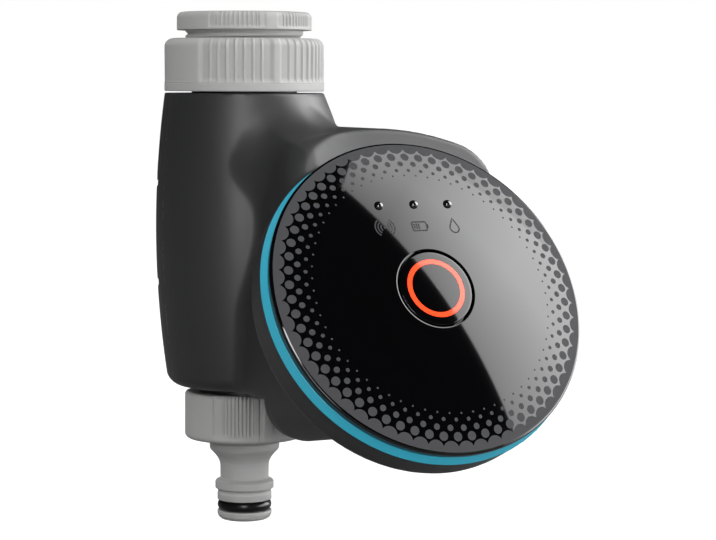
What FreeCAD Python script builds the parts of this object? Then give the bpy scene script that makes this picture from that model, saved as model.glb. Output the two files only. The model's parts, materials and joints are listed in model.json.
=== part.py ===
import FreeCAD, Part
import math
import os
import re

import Sketcher

# Smart irrigation controller, millimetres, Z up, front towards -Y.
# The origin is the middle of the mouth of the tap adapter, where the tap's thread goes in.
# Water runs straight down the valve axis. The round control face stands in front and to the
# right of that axis, leaning back, and its own frame has Z out of the face and Y up the face.

DRIVING = [
    ("disc_tilt", 28.6), ("disc_x", 22.0), ("disc_y", -70.5), ("disc_z", -75.0),
    ("running_gap", 0.1), ("seat_gap", 0.05), ("free_gap", 0.3), ("wall", 2.4),
    # tap adapter
    ("head_radius", 19.0), ("head_height", 5.1), ("head_round", 1.3), ("adapter_thread_radius", 16.6),
    ("adapter_length", 14.0), ("tap_thread_radius", 13.25), ("tap_thread_depth", 11.0),
    ("washer_thickness", 2.0), ("washer_hole_radius", 9.5), ("washer_pocket_radius", 13.6),
    # union nut
    ("nut_gap", 2.3), ("nut_height", 14.8), ("nut_flange_radius", 22.5), ("nut_flange_height", 2.3),
    ("nut_grip_radius", 22.2), ("nut_round", 2.2), ("nut_lip_height", 3.4),
    ("panel_angle", 60), ("nut_groove_depth", 0.7), ("nut_grooves", 9), ("nut_groove_pitch", 6.3),
    ("head_groove_depth", 0.45), ("head_grooves", 11), ("head_groove_pitch", 3.9), ("head_band", 0.9),
    ("connector_groove_depth", 0.35), ("connector_grooves", 8), ("connector_groove_pitch", 3.9),
    # inlet of the valve
    ("inlet_radius", 14.9), ("clip_outer_radius", 16.4), ("clip_groove_radius", 13.8), ("clip_height", 1.4),
    ("clip_depth", 1.2), ("filter_rim_radius", 12.0), ("filter_rim_height", 1.2), ("filter_length", 18.0),
    ("filter_tip_radius", 5.0), ("filter_wall", 0.8), ("inlet_bore_radius", 9.5),
    # housing
    ("barrel_top_gap", 0.5), ("barrel_length", 83.8), ("barrel_top_radius", 22.44),
    ("barrel_middle_radius", 25.1), ("barrel_bottom_radius", 21.9), ("barrel_round", 5.0),
    ("barrel_end_wall", 3.0), ("barrel_bore_radius", 19.5), ("cover_split", 0.0),
    ("body_left", -10.0), ("body_right", 57.0), ("body_back", 0.0), ("body_top", -32.2),
    ("body_bottom", -116.7), ("body_crown", 75.0), ("body_corner", 12.0), ("body_back_corner", 12.0),
    ("body_front_depth", 10.5), ("foot_back", -35.0), ("foot_side", 26.0), ("body_rise", 10.2), ("body_rise_from", -40.0),
    ("drum_front_depth", 5.8), ("drum_back_depth", 16.0), ("drum_front_radius", 45.3), ("drum_taper", 0.85),
    ("drum_edge", 2.6), ("drum_wall", 3.5), ("drum_bore_depth", 14.4), ("hole_gap", 0.2),
    ("cover_screw_x", 21.4), ("cover_screw_high", -48.0), ("cover_screw_low", -76.0), ("cover_screw_seat", 5.5),
    ("cover_screw_head", 1.5), ("cover_screw_head_radius", 1.9), ("cover_screw_radius", 1.05),
    ("cover_screw_length", 12.0), ("screw_hole_gap", 0.05),
    # battery side
    ("door_length", 28.0), ("door_height", 53.6), ("door_middle_y", -26.5), ("door_middle_z", -77.1),
    ("door_corner", 4.0), ("door_lip", 2.0), ("door_skirt", 2.7), ("door_skirt_wall", 1.4), ("door_seal", 1.2),
    ("door_ledge", 1.8), ("door_grip_radius", 5.0), ("cell_radius", 7.25), ("cell_length", 49.2),
    ("cell_nub_radius", 2.75), ("cell_nub_height", 1.0), ("cell_bottom", -101.8), ("cell_x", 43.8),
    ("cell_middle_y", -26.0), ("cell_pitch", 14.8), ("cradle_plate", 1.4), ("cradle_wall", 2.4),
    ("contact_height", 1.2), ("contact_width", 9.0),
    # valve body
    ("valve_radius", 18.8), ("valve_top_drop", 4.3), ("valve_bottom", -102.1), ("outlet_radius", 13.1),
    ("outlet_bottom", -117.0), ("outlet_bore_radius", 8.0), ("valve_axis_x", 6.0), ("valve_axis_z", -76.0),
    ("valve_flange", 4.0), ("inlet_tube_radius", 13.0), ("outlet_tube_radius", 15.0),
    ("outlet_tube_top", -91.0), ("chamber_square", 26.0), ("chamber_front", -21.0), ("chamber_back", -6.0), ("chamber_radius", 11.0),
    ("seat_front", -12.0), ("seat_outer_radius", 6.0), ("seat_bore_radius", 4.8), ("riser_radius", 7.0),
    ("riser_y", 5.0), ("riser_top", -69.0), ("inlet_bore_bottom", -60.0),
    ("diaphragm_thickness", 1.9), ("diaphragm_travel", 2.5), ("spring_pocket_radius", 4.7), ("spring_steps", 16),
    ("bonnet_thickness", 4.0), ("bonnet_plug", 3.2), ("bonnet_screw_spacing", 20.6),
    ("plunger_radius", 3.8), ("plunger_length", 10.0), ("plunger_travel", 1.5), ("tube_wall", 0.7),
    ("coil_radius", 9.5), ("coil_length", 14.0), ("yoke_thickness", 1.6), ("yoke_width", 15.6),
    # hose connector
    ("connector_radius", 16.85), ("connector_top_gap", 0.8), ("connector_nut_height", 12.4),
    ("connector_thread_radius", 13.2), ("connector_collar_radius", 9.85), ("connector_neck_radius", 6.9),
    ("connector_ridge_radius", 8.35), ("connector_land_radius", 7.75), ("connector_bore_radius", 5.5),
    ("o_ring_thickness", 2.5), ("connector_tip", -144.4),
    # control unit
    ("face_step", 0.7), ("dome_height", 4.6), ("face_thickness", 1.8), ("face_edge", 1.0),
    ("rim_depth", 3.1), ("rim_step", 1.1), ("rim_lip", 4.4), ("face_seat", 4.6),
    ("seal_room", 1.4), ("skirt_wall", 1.8), ("skirt_depth", 12.5), ("rib_gap", 0.3),
    ("rib_height", 1.2), ("seal_height", 1.4), ("post_radius", 2.4), ("post_inset", 2.4),
    ("board_depth", 7.0), ("board_thickness", 1.6), ("board_gap", 0.4), ("back_plate", 1.6),
    # button and lights
    ("button_hole_radius", 11.0), ("button_radius", 10.4), ("button_flange_radius", 12.4),
    ("button_flange_height", 1.1), ("button_floor", 1.0), ("light_outer_radius", 8.65),
    ("light_inner_radius", 6.85), ("light_floor", 3.2), ("button_stem_radius", 2.2),
    ("button_stem_depth", 2.9), ("button_stroke", 0.5), ("lamp_radius", 1.3), ("lamp_pitch", 10.25),
    ("lamp_height", 24.7), ("lamp_hole_gap", 0.1),
]

doc = FreeCAD.newDocument("irrigation_controller")
sheet = doc.addObject("Spreadsheet::Sheet", "Sizes")
for row, (alias, number) in enumerate(DRIVING, start=1):
    sheet.set(f"A{row}", alias)
    sheet.set(f"B{row}", str(number))
    sheet.setAlias(f"B{row}", alias)
doc.recompute()

ALIASES = {alias for alias, number in DRIVING}
PARTS = []


def full(text):
    """A formula of size names as an expression that reads the sheet."""
    return re.sub(r"[a-z]\w*", lambda word: f"Sizes.{word.group()}" if word.group() in ALIASES else word.group(), str(text))


def size(text):
    """The number that a formula of size names comes to."""
    return float(sheet.evalExpression(full(text)))


# Levels on the valve axis, from the adapter's top face down.
NUT_TOP = "(-head_height - nut_gap)"
NUT_BOTTOM = f"({NUT_TOP} - nut_height)"
WASHER_TOP = "(-adapter_length)"
INLET_TOP = f"({WASHER_TOP} - washer_thickness)"
LIP_TOP = f"({NUT_BOTTOM} + nut_lip_height)"
BARREL_TOP = f"({NUT_BOTTOM} - barrel_top_gap)"
BARREL_BOTTOM = f"({BARREL_TOP} - barrel_length)"
VALVE_TOP = f"({BARREL_TOP} - valve_top_drop)"
CONNECTOR_TOP = f"({BARREL_BOTTOM} - connector_top_gap)"
CONNECTOR_NUT_BOTTOM = f"({CONNECTOR_TOP} - connector_nut_height)"

# Radii of the control unit, all from the drum's front edge.
DRUM_BORE = "(drum_front_radius - drum_wall)"
SKIRT_RADIUS = f"({DRUM_BORE} - seal_room)"
SKIRT_INSIDE = f"({SKIRT_RADIUS} - skirt_wall)"
RIB_RADIUS = f"({DRUM_BORE} - rib_gap)"
FACE_RADIUS = "(drum_front_radius - face_step)"
RIM_RADIUS = "(drum_front_radius - rim_step)"
POST_CIRCLE = f"({SKIRT_INSIDE} - post_inset)"
BOARD_RADIUS = f"({SKIRT_INSIDE} - board_gap)"
DOME_RADIUS = f"(({FACE_RADIUS} ^ 2 + dome_height ^ 2) / (2 * dome_height))"
DOME_CENTRE = f"(dome_height - {DOME_RADIUS})"

AXIS_ROTATION = {
    "up": FreeCAD.Rotation(),
    "front": FreeCAD.Rotation(FreeCAD.Vector(1, 0, 0), 90),
    "right": FreeCAD.Rotation(FreeCAD.Vector(0, 1, 0), 90),
}


def place(item, x="0", y="0", z="0", axis="up"):
    """Put an object at a point given by formulas, with its own Z along the named axis."""
    item.Placement = FreeCAD.Placement(FreeCAD.Vector(size(x), size(y), size(z)), AXIS_ROTATION[axis])
    for key, formula in (("x", x), ("y", y), ("z", z)):
        item.setExpression(f"Placement.Base.{key}", full(formula))
    return item


def cylinder(radius, height, x="0", y="0", z="0", axis="up"):
    item = doc.addObject("Part::Cylinder", "cylinder")
    item.setExpression("Radius", full(radius))
    item.setExpression("Height", full(height))
    return place(item, x, y, z, axis)


def cone(radius_low, radius_high, height, x="0", y="0", z="0", axis="up"):
    item = doc.addObject("Part::Cone", "cone")
    item.setExpression("Radius1", full(radius_low))
    item.setExpression("Radius2", full(radius_high))
    item.setExpression("Height", full(height))
    return place(item, x, y, z, axis)


def block(length, width, height, x="0", y="0", z="0"):
    """A box whose lowest corner is at the given point."""
    item = doc.addObject("Part::Box", "block")
    item.setExpression("Length", full(length))
    item.setExpression("Width", full(width))
    item.setExpression("Height", full(height))
    return place(item, x, y, z)


def centred_block(length, width, height, x="0", y="0", z="0"):
    """A box centred on X and Y, standing on Z."""
    return block(length, width, height, f"({x}) - ({length}) / 2", f"({y}) - ({width}) / 2", z)


def ball(radius, x="0", y="0", z="0"):
    item = doc.addObject("Part::Sphere", "ball")
    item.setExpression("Radius", full(radius))
    return place(item, x, y, z)


def fuse(*items):
    if len(items) == 1:
        return items[0]
    item = doc.addObject("Part::MultiFuse", "joined")
    item.Shapes = list(items)
    item.Refine = True
    return item


def cut(base, *tools):
    item = doc.addObject("Part::Cut", "cut")
    item.Base = base
    item.Tool = fuse(*tools)
    item.Refine = True
    return item


def common(first, second):
    item = doc.addObject("Part::MultiCommon", "common")
    item.Shapes = [first, second]
    return item


def group(*items):
    """Identical separate solids that share one node."""
    item = doc.addObject("Part::Compound", "group")
    item.Links = list(items)
    return item


def ring(outer, inner, height, x="0", y="0", z="0", axis="up"):
    """A flat ring; its bore runs a little past both faces."""
    solid = cylinder(outer, height, x, y, z, axis)
    shift = {"up": (x, y, f"({z}) - 1"), "front": (x, f"({y}) + 1", z), "right": (f"({x}) - 1", y, z)}[axis]
    return cut(solid, cylinder(inner, f"({height}) + 2", *shift, axis))


def origin_plane(body, role):
    return next(item for item in body.Origin.OriginFeatures if item.Role == role)


def turned(corners, name):
    """A body turned about its own Z from an outline of corners, each a pair of formulas (radius, height)."""
    body = doc.addObject("PartDesign::Body", name)
    sketch = body.newObject("Sketcher::SketchObject", f"{name}_outline")
    sketch.AttachmentSupport = [(origin_plane(body, "XZ_Plane"), "")]
    sketch.MapMode = "FlatFace"
    points = [FreeCAD.Vector(size(across), size(along), 0) for across, along in corners]
    count = len(points)
    for index in range(count):
        sketch.addGeometry(Part.LineSegment(points[index], points[(index + 1) % count]), False)
    for index in range(count):
        sketch.addConstraint(Sketcher.Constraint("Coincident", index, 2, (index + 1) % count, 1))
    for index, (across, along) in enumerate(corners):
        for kind, value, formula in (("DistanceX", points[index].x, across), ("DistanceY", points[index].y, along)):
            number = sketch.addConstraint(Sketcher.Constraint(kind, -1, 1, index, 1, value))
            sketch.setExpression(f"Constraints[{number}]", full(formula))
    turn = body.newObject("PartDesign::Revolution", f"{name}_turn")
    turn.Profile = sketch
    turn.ReferenceAxis = (sketch, ["V_Axis"])
    turn.Angle = 360
    body.Tip = turn
    return body


def made(name, shape):
    """A solid set from Part's own functions."""
    item = doc.addObject("Part::Feature", name)
    item.Shape = shape
    return item


def on_face(item):
    """Stand an object that was drawn in the control face's own frame on the leaning face."""
    if not item.Placement.isIdentity():
        item = group(item)
    turn = FreeCAD.Rotation(FreeCAD.Vector(1, 0, 0), 90 - size("disc_tilt"))
    item.Placement = FreeCAD.Placement(FreeCAD.Vector(size("disc_x"), size("disc_y"), size("disc_z")), turn)
    for key, formula in (("Base.x", "disc_x"), ("Base.y", "disc_y"), ("Base.z", "disc_z"), ("Rotation.Angle", "90 - disc_tilt")):
        item.setExpression(f"Placement.{key}", full(formula))
    return item


def keep(item, name):
    item.Label = name
    PARTS.append(item)
    return item


def coil(radius, wire, length, turns):
    """An open spring of round wire along Z, bent in short straight steps, its ends inside the length."""
    rise = length - wire
    count = int(turns * size("spring_steps"))
    points = []
    for step in range(count + 1):
        angle = 2 * math.pi * turns * step / count
        level = wire / 2 + rise * step / count
        points.append(FreeCAD.Vector(radius * math.cos(angle), radius * math.sin(angle), level))
    path = Part.Wire([Part.LineSegment(points[step], points[step + 1]).toShape() for step in range(count)])
    section = Part.Wire([Part.makeCircle(wire / 2, points[0], points[1] - points[0])])
    return path.makePipeShell([section], True, True, 1)


def face_point(across, up, out):
    """A point of the control face's frame in the frame of the part."""
    tilt = math.radians(size("disc_tilt"))
    return FreeCAD.Vector(
        size("disc_x") + across,
        size("disc_y") - out * math.cos(tilt) + up * math.sin(tilt),
        size("disc_z") + out * math.sin(tilt) + up * math.cos(tilt),
    )


# Housing

def arch_outline(inset, y):
    """The upright outline of the body seen from the front, drawn inwards by an inset."""
    left = size("body_left") + inset
    right = size("body_right") - inset
    top = size("body_top") - inset
    bottom = size("body_bottom") + inset
    crown = size("body_crown") - inset
    corner = size("body_corner") - inset
    middle = (left + right) / 2
    crown_centre = FreeCAD.Vector(middle, y, top - crown)
    half = (right - left) / 2 - corner
    rise = math.sqrt((crown - corner) ** 2 - half ** 2)
    slant = corner * math.sqrt(0.5)

    def shoulder(side):
        centre = crown_centre + FreeCAD.Vector(side * half, 0, rise)
        outward = FreeCAD.Vector(side * half, 0, rise).normalize()
        sideways = FreeCAD.Vector(side, 0, 0)
        between = (outward + sideways).normalize()
        return crown_centre + outward * crown, centre + between * corner, centre + sideways * corner

    def base(side, wall):
        inner = wall - side * corner
        start = FreeCAD.Vector(wall, y, bottom + corner)
        middle_of_arc = FreeCAD.Vector(inner + side * slant, y, bottom + corner - slant)
        return start, middle_of_arc, FreeCAD.Vector(inner, y, bottom)

    right_top, right_bend, right_wall = shoulder(1)
    left_top, left_bend, left_wall = shoulder(-1)
    right_start, right_arc, right_end = base(1, right)
    left_start, left_arc, left_end = base(-1, left)
    edges = [
        Part.Arc(left_top, FreeCAD.Vector(middle, y, top), right_top),
        Part.Arc(right_top, right_bend, right_wall),
        Part.LineSegment(right_wall, right_start),
        Part.Arc(right_start, right_arc, right_end),
        Part.LineSegment(right_end, left_end),
        Part.Arc(left_end, left_arc, left_start),
        Part.LineSegment(left_start, left_wall),
        Part.Arc(left_wall, left_bend, left_top),
    ]
    return Part.Wire([edge.toShape() for edge in edges])


def face_slab(depth_front, depth_back, radius=None):
    """A disc of the face's frame, or all of that frame in front of a depth, as a solid."""
    if radius is None:
        reach = 200.0
        solid = Part.makeBox(2 * reach, 2 * reach, reach, FreeCAD.Vector(-reach, -reach, -depth_back))
    else:
        solid = Part.makeCylinder(radius, depth_back - depth_front, FreeCAD.Vector(0, 0, -depth_back))
    turn = FreeCAD.Rotation(FreeCAD.Vector(1, 0, 0), 90 - size("disc_tilt"))
    solid.Placement = FreeCAD.Placement(face_point(0, 0, 0), turn)
    return solid


def body_solid(inset):
    """The upright body behind the face, drawn inwards by an inset."""
    back = size("body_back") - inset
    reach = 100.0
    solid = Part.Face(arch_outline(inset, back)).extrude(FreeCAD.Vector(0, -reach, 0))
    corner = size("body_back_corner") - inset
    right = size("body_right") - inset
    block_corner = Part.makeBox(corner + 1, corner + 1, reach * 2, FreeCAD.Vector(right - corner, back - corner, -reach * 2))
    round_corner = Part.makeCylinder(corner, reach * 2, FreeCAD.Vector(right - corner, back - corner, -reach * 2))
    solid = solid.cut(block_corner.cut(round_corner))
    front_depth = size("body_front_depth") + inset
    solid = solid.cut(face_slab(-reach, front_depth))
    side = size("foot_side") + inset
    heel = size("foot_back") - inset
    hand_room = Part.makeBox(reach, reach, reach, FreeCAD.Vector(side - reach, heel, size(BARREL_BOTTOM) + inset - reach))
    hinge_line = FreeCAD.Vector(-reach, size("body_rise_from"), size("body_bottom") + inset)
    rise = Part.makeBox(3 * reach, reach, reach, FreeCAD.Vector(-reach, hinge_line.y - reach, hinge_line.z - reach))
    rise.rotate(hinge_line, FreeCAD.Vector(1, 0, 0), -size("body_rise"))
    return solid.cut(hand_room).cut(rise)


def barrel_solid():
    """The upright barrel round the valve, its side one shallow arc."""
    top = size(BARREL_TOP)
    bottom = size(BARREL_BOTTOM)
    edge = size("barrel_round")
    top_radius = size("barrel_top_radius")
    low_radius = size("barrel_bottom_radius")
    middle = (top + bottom + edge) / 2
    slant = edge * math.sqrt(0.5)
    outline = [
        Part.LineSegment(FreeCAD.Vector(0, 0, top), FreeCAD.Vector(top_radius, 0, top)),
        Part.Arc(
            FreeCAD.Vector(top_radius, 0, top),
            FreeCAD.Vector(size("barrel_middle_radius"), 0, middle),
            FreeCAD.Vector(low_radius, 0, bottom + edge),
        ),
        Part.Arc(
            FreeCAD.Vector(low_radius, 0, bottom + edge),
            FreeCAD.Vector(low_radius - edge + slant, 0, bottom + edge - slant),
            FreeCAD.Vector(low_radius - edge, 0, bottom),
        ),
        Part.LineSegment(FreeCAD.Vector(low_radius - edge, 0, bottom), FreeCAD.Vector(0, 0, bottom)),
        Part.LineSegment(FreeCAD.Vector(0, 0, bottom), FreeCAD.Vector(0, 0, top)),
    ]
    wire = Part.Wire([edge_line.toShape() for edge_line in outline])
    wire.rotate(FreeCAD.Vector(0, 0, 0), FreeCAD.Vector(0, 0, 1), 90)
    return Part.Face(wire).revolve(FreeCAD.Vector(0, 0, 0), FreeCAD.Vector(0, 0, 1), 360)


def upright(radius, low, high, x=0.0, y=0.0):
    return Part.makeCylinder(radius, high - low, FreeCAD.Vector(x, y, low))


def split_box():
    """The space behind the plane where the barrel's back cover comes off."""
    reach = 60.0
    return Part.makeBox(2 * reach, reach, 3 * reach, FreeCAD.Vector(-reach, size("cover_split"), -2.5 * reach))


def door_solid(grow, x_low, x_high):
    """A plate with round corners in the right wall, grown all round by an amount."""
    length = size("door_length") + 2 * grow
    height = size("door_height") + 2 * grow
    corner = size("door_corner") + grow
    y = size("door_middle_y")
    z = size("door_middle_z")
    depth = x_high - x_low
    solid = Part.makeBox(depth, length, height, FreeCAD.Vector(x_low, y - length / 2, z - height / 2))
    return solid.makeFillet(corner, [edge for edge in solid.Edges if abs(edge.tangentAt(edge.FirstParameter).x) > 0.9])


def cover_screw_places():
    """Where the four screws of the back cover stand, as pairs of X and Z."""
    side = size("cover_screw_x")
    return [(x, size(level)) for x in (-side, side) for level in ("cover_screw_high", "cover_screw_low")]


def along_y(radius, x, z, y_from, y_to):
    return Part.makeCylinder(radius, abs(y_to - y_from), FreeCAD.Vector(x, y_from, z), FreeCAD.Vector(0, y_to - y_from, 0))


barrel_bore = upright(size("barrel_bore_radius"), size(BARREL_BOTTOM) + size("barrel_end_wall"), size(BARREL_TOP) - size("barrel_end_wall"))
inlet_hole = upright(size("inlet_radius + hole_gap"), size(BARREL_TOP) - 5, size(BARREL_TOP) + 5)
outlet_hole = upright(size("outlet_radius + hole_gap + free_gap"), size(BARREL_BOTTOM) - 5, size(BARREL_BOTTOM) + 5)
barrel = barrel_solid()


def valve_window():
    """The opening in the barrel's wall that the valve's chamber and solenoid stand in."""
    half = size("chamber_square") / 2 + size("free_gap")
    low = FreeCAD.Vector(size("valve_axis_x") - half, size("chamber_front") - 10, size("valve_axis_z") - half)
    return Part.makeBox(2 * half, 30, 2 * half, low)


def housing_solid():
    body = body_solid(0.0)
    drum = Part.makeCone(
        size("drum_front_radius - drum_taper"), size("drum_front_radius"), size("drum_back_depth - drum_front_depth"),
        FreeCAD.Vector(0, 0, -size("drum_back_depth")),
    )
    drum.Placement = FreeCAD.Placement(face_point(0, 0, 0), FreeCAD.Rotation(FreeCAD.Vector(1, 0, 0), 90 - size("disc_tilt")))
    back_rim = [edge for edge in drum.Edges if edge.Length > 10 and (edge.CenterOfMass - face_point(0, 0, 0)).Length > size("drum_back_depth") - 1]
    drum = drum.makeFillet(size("drum_edge"), back_rim)
    room = body_solid(size("wall"))
    bore = face_slab(size("drum_front_depth") - 1, size("drum_bore_depth"), size(DRUM_BORE))
    right = size("body_right")
    inner_face = right - size("wall")
    ledge_back = inner_face - size("door_seal") - size("door_ledge")
    ledge = door_solid(size("door_lip"), ledge_back, inner_face)
    shell = body.fuse(drum).cut(room).cut(bore).fuse(ledge).fuse(barrel.cut(split_box()).cut(bore))
    shell = shell.cut(barrel_bore).cut(inlet_hole).cut(outlet_hole).cut(valve_window())
    shell = shell.cut(door_solid(size("free_gap"), inner_face - size("door_seal"), right + 1))
    shell = shell.cut(door_solid(size("free_gap - door_lip"), ledge_back - 1, right))
    seat = size("cover_screw_seat")
    reach = size("cover_screw_length") + 0.5
    for x, z in cover_screw_places():
        shell = shell.cut(along_y(size("cover_screw_radius + screw_hole_gap"), x, z, seat, seat - reach))
    return shell


def rear_cover_solid():
    solid = barrel.common(split_box()).cut(barrel_bore).cut(inlet_hole).cut(outlet_hole)
    for x, z in cover_screw_places():
        solid = solid.cut(along_y(size("cover_screw_radius + hole_gap"), x, z, -1, 30))
        solid = solid.cut(along_y(size("cover_screw_head_radius + free_gap"), x, z, size("cover_screw_seat"), 30))
    return solid


def cover_screws():
    screws = []
    seat = size("cover_screw_seat")
    for x, z in cover_screw_places():
        head = along_y(size("cover_screw_head_radius"), x, z, seat, seat + size("cover_screw_head"))
        shank = along_y(size("cover_screw_radius"), x, z, seat, seat - size("cover_screw_length"))
        screws.append(head.fuse(shank).removeSplitter())
    return Part.makeCompound(screws)


keep(made("housing", housing_solid()), "main_housing")
keep(made("cover", rear_cover_solid()), "rear_cover")
keep(made("screws", cover_screws()), "cover_screws")

# Tap adapter, washers, nut and its clip

ADAPTER_SEAT = "(-tap_thread_depth - washer_thickness)"
adapter_blank = turned([
    ("tap_thread_radius", "0"), ("head_radius - head_round", "0"), ("head_radius", "-head_round"),
    ("head_radius", "-head_height"), ("adapter_thread_radius", "-head_height"),
    ("adapter_thread_radius", WASHER_TOP), ("washer_hole_radius", WASHER_TOP),
    ("washer_hole_radius", ADAPTER_SEAT), ("washer_pocket_radius", ADAPTER_SEAT),
    ("washer_pocket_radius", "-tap_thread_depth"), ("tap_thread_radius", "-tap_thread_depth"),
], "adapter")
keep(ring("tap_thread_radius - free_gap", "washer_hole_radius", "washer_thickness", z=ADAPTER_SEAT), "adapter_washer")
keep(ring("inlet_radius", "washer_hole_radius", "washer_thickness", z=INLET_TOP), "inlet_washer")

nut_blank = turned([
    ("adapter_thread_radius + running_gap", NUT_TOP), ("nut_grip_radius - nut_round", NUT_TOP),
    ("nut_grip_radius", f"{NUT_TOP} - nut_round"), ("nut_grip_radius", f"{NUT_BOTTOM} + nut_flange_height"),
    ("nut_flange_radius", f"{NUT_BOTTOM} + nut_flange_height"), ("nut_flange_radius", NUT_BOTTOM),
    ("inlet_radius + free_gap", NUT_BOTTOM), ("inlet_radius + free_gap", LIP_TOP),
    ("adapter_thread_radius + running_gap", LIP_TOP),
], "nut_blank")


def grip_grooves(radius, depth, low, high, grooves, pitch):
    """Upright grooves with three sides, in two panels in front and two behind, round a grip."""
    cutters = []
    for middle in (size("panel_angle"), 180 - size("panel_angle"), 180 + size("panel_angle"), -size("panel_angle")):
        for groove in range(grooves):
            half = radius * math.radians(pitch) * 0.3
            outline = Part.makePolygon([
                FreeCAD.Vector(radius - depth, 0, low), FreeCAD.Vector(radius + 1, -half - 1, low),
                FreeCAD.Vector(radius + 1, half + 1, low), FreeCAD.Vector(radius - depth, 0, low),
            ])
            cutter = Part.Face(outline).extrude(FreeCAD.Vector(0, 0, high - low))
            turn = middle + pitch * (groove - (grooves - 1) / 2)
            cutter.rotate(FreeCAD.Vector(0, 0, 0), FreeCAD.Vector(0, 0, 1), turn)
            cutters.append(cutter)
    return Part.makeCompound(cutters)


def gripped(blank, name, radius, low, high):
    """Cut a part's grip panels, whose grooves are sized by the part's name."""
    grooves = grip_grooves(
        size(radius), size(f"{name}_groove_depth"), size(low), size(high),
        int(size(f"{name}_grooves")), size(f"{name}_groove_pitch"),
    )
    return cut(blank, made(f"{name}_grip", grooves))


keep(gripped(adapter_blank, "head", "head_radius", "head_band - head_height", "1"), "tap_adapter")
keep(gripped(nut_blank, "nut", "nut_grip_radius", f"{NUT_BOTTOM} + nut_flange_height", "1"), "union_nut")
keep(cut(
    ring("clip_outer_radius", "clip_groove_radius + free_gap", "clip_height", z=f"{LIP_TOP} + running_gap"),
    block("inlet_radius + 10", "6", "10", x="0", y="-3", z=f"{LIP_TOP} - 5"),
), "nut_clip")

# Valve

CLIP_GROOVE_LOW = f"({LIP_TOP})"
CLIP_GROOVE_HIGH = f"({LIP_TOP} + clip_height + 2 * running_gap)"
spigots = turned([
    ("filter_rim_radius + running_gap", INLET_TOP), ("inlet_radius", INLET_TOP), ("inlet_radius", CLIP_GROOVE_HIGH),
    ("clip_groove_radius", CLIP_GROOVE_HIGH), ("clip_groove_radius", CLIP_GROOVE_LOW),
    ("inlet_radius", CLIP_GROOVE_LOW), ("inlet_radius", VALVE_TOP), ("valve_radius", VALVE_TOP),
    ("valve_radius", f"{VALVE_TOP} - valve_flange"), ("inlet_tube_radius", f"{VALVE_TOP} - valve_flange"),
    ("inlet_tube_radius", "inlet_bore_bottom"), ("valve_radius", "inlet_bore_bottom"),
    ("valve_radius", "outlet_tube_top"), ("outlet_tube_radius", "outlet_tube_top"),
    ("outlet_tube_radius", "valve_bottom + valve_flange"), ("valve_radius", "valve_bottom + valve_flange"),
    ("valve_radius", "valve_bottom"), ("outlet_radius", "valve_bottom"), ("outlet_radius", "outlet_bottom"),
    ("0", "outlet_bottom"), ("0", f"{INLET_TOP} - filter_rim_height"),
    ("filter_rim_radius + running_gap", f"{INLET_TOP} - filter_rim_height"),
], "spigots")
valve_boss = block(
    "chamber_square", "-chamber_front", "chamber_square",
    "valve_axis_x - chamber_square / 2", "chamber_front", "valve_axis_z - chamber_square / 2",
)
inlet_bore = cylinder("inlet_bore_radius", f"{INLET_TOP} - inlet_bore_bottom", z="inlet_bore_bottom")
feed_bore = cylinder("3.8", "12", x="3.5", y="-6.5", z="inlet_bore_bottom - 8")
chamber = cut(
    cylinder("chamber_radius", "chamber_back - chamber_front + 1", "valve_axis_x", "chamber_back", "valve_axis_z", "front"),
    cylinder("seat_outer_radius", "chamber_back - seat_front", "valve_axis_x", "chamber_back", "valve_axis_z", "front"),
)
seat_bore = cylinder("seat_bore_radius", "riser_y - seat_front + 1", "valve_axis_x", "riser_y", "valve_axis_z", "front")
riser = cylinder("riser_radius", "riser_top - valve_bottom", y="riser_y", z="valve_bottom")
outlet_bore = cylinder("outlet_bore_radius", "valve_bottom - outlet_bottom + 8", z="outlet_bottom - 1")
bonnet_threads = [
    cylinder(
        "1.15", "9", f"valve_axis_x + {side} * bonnet_screw_spacing / 2", "chamber_front + 8.5",
        f"valve_axis_z + {lift} * bonnet_screw_spacing / 2", "front",
    )
    for side in (-1, 1) for lift in (-1, 1)
]
keep(cut(fuse(spigots, valve_boss), inlet_bore, feed_bore, chamber, seat_bore, riser, outlet_bore, *bonnet_threads), "valve_body")
keep(ring("valve_radius", "inlet_radius + free_gap", "valve_top_drop - barrel_end_wall - 2 * seat_gap", z=f"{VALVE_TOP} + seat_gap"), "inlet_seal")
keep(ring(
    "valve_radius", "outlet_radius + free_gap", f"valve_bottom - {BARREL_BOTTOM} - barrel_end_wall - 2 * seat_gap",
    z=f"{BARREL_BOTTOM} + barrel_end_wall + seat_gap",
), "outlet_seal")

filter_low = f"({INLET_TOP} - filter_length)"
keep(turned([
    ("filter_rim_radius", INLET_TOP), ("filter_rim_radius", f"{INLET_TOP} - filter_rim_height + seat_gap"),
    ("inlet_bore_radius - free_gap", f"{INLET_TOP} - filter_rim_height + seat_gap"),
    ("filter_tip_radius", filter_low), ("0", filter_low), ("0", f"{filter_low} + filter_wall"),
    ("filter_tip_radius - filter_wall", f"{filter_low} + filter_wall"),
    ("inlet_bore_radius - free_gap - filter_wall", INLET_TOP),
], "filter"), "inlet_filter")

DIAPHRAGM_FRONT = "(seat_front - seat_gap - diaphragm_thickness)"
BONNET_BACK = "(chamber_front + bonnet_plug)"
BONNET_FRONT = "(chamber_front - seat_gap - bonnet_thickness)"
keep(fuse(
    cylinder("chamber_radius - free_gap", "diaphragm_thickness", "valve_axis_x", "seat_front - seat_gap", "valve_axis_z", "front"),
    cylinder("2.4", "1.2", "valve_axis_x", DIAPHRAGM_FRONT, "valve_axis_z", "front"),
), "diaphragm")
bonnet_square = block(
    "chamber_square", "bonnet_thickness", "chamber_square",
    "valve_axis_x - chamber_square / 2", BONNET_FRONT, "valve_axis_z - chamber_square / 2",
)
bonnet_plug = cylinder("chamber_radius - free_gap", "bonnet_plug + seat_gap + 1", "valve_axis_x", BONNET_BACK, "valve_axis_z", "front")
spring_pocket = cylinder("spring_pocket_radius", "bonnet_plug", "valve_axis_x", BONNET_BACK, "valve_axis_z", "front")
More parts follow.
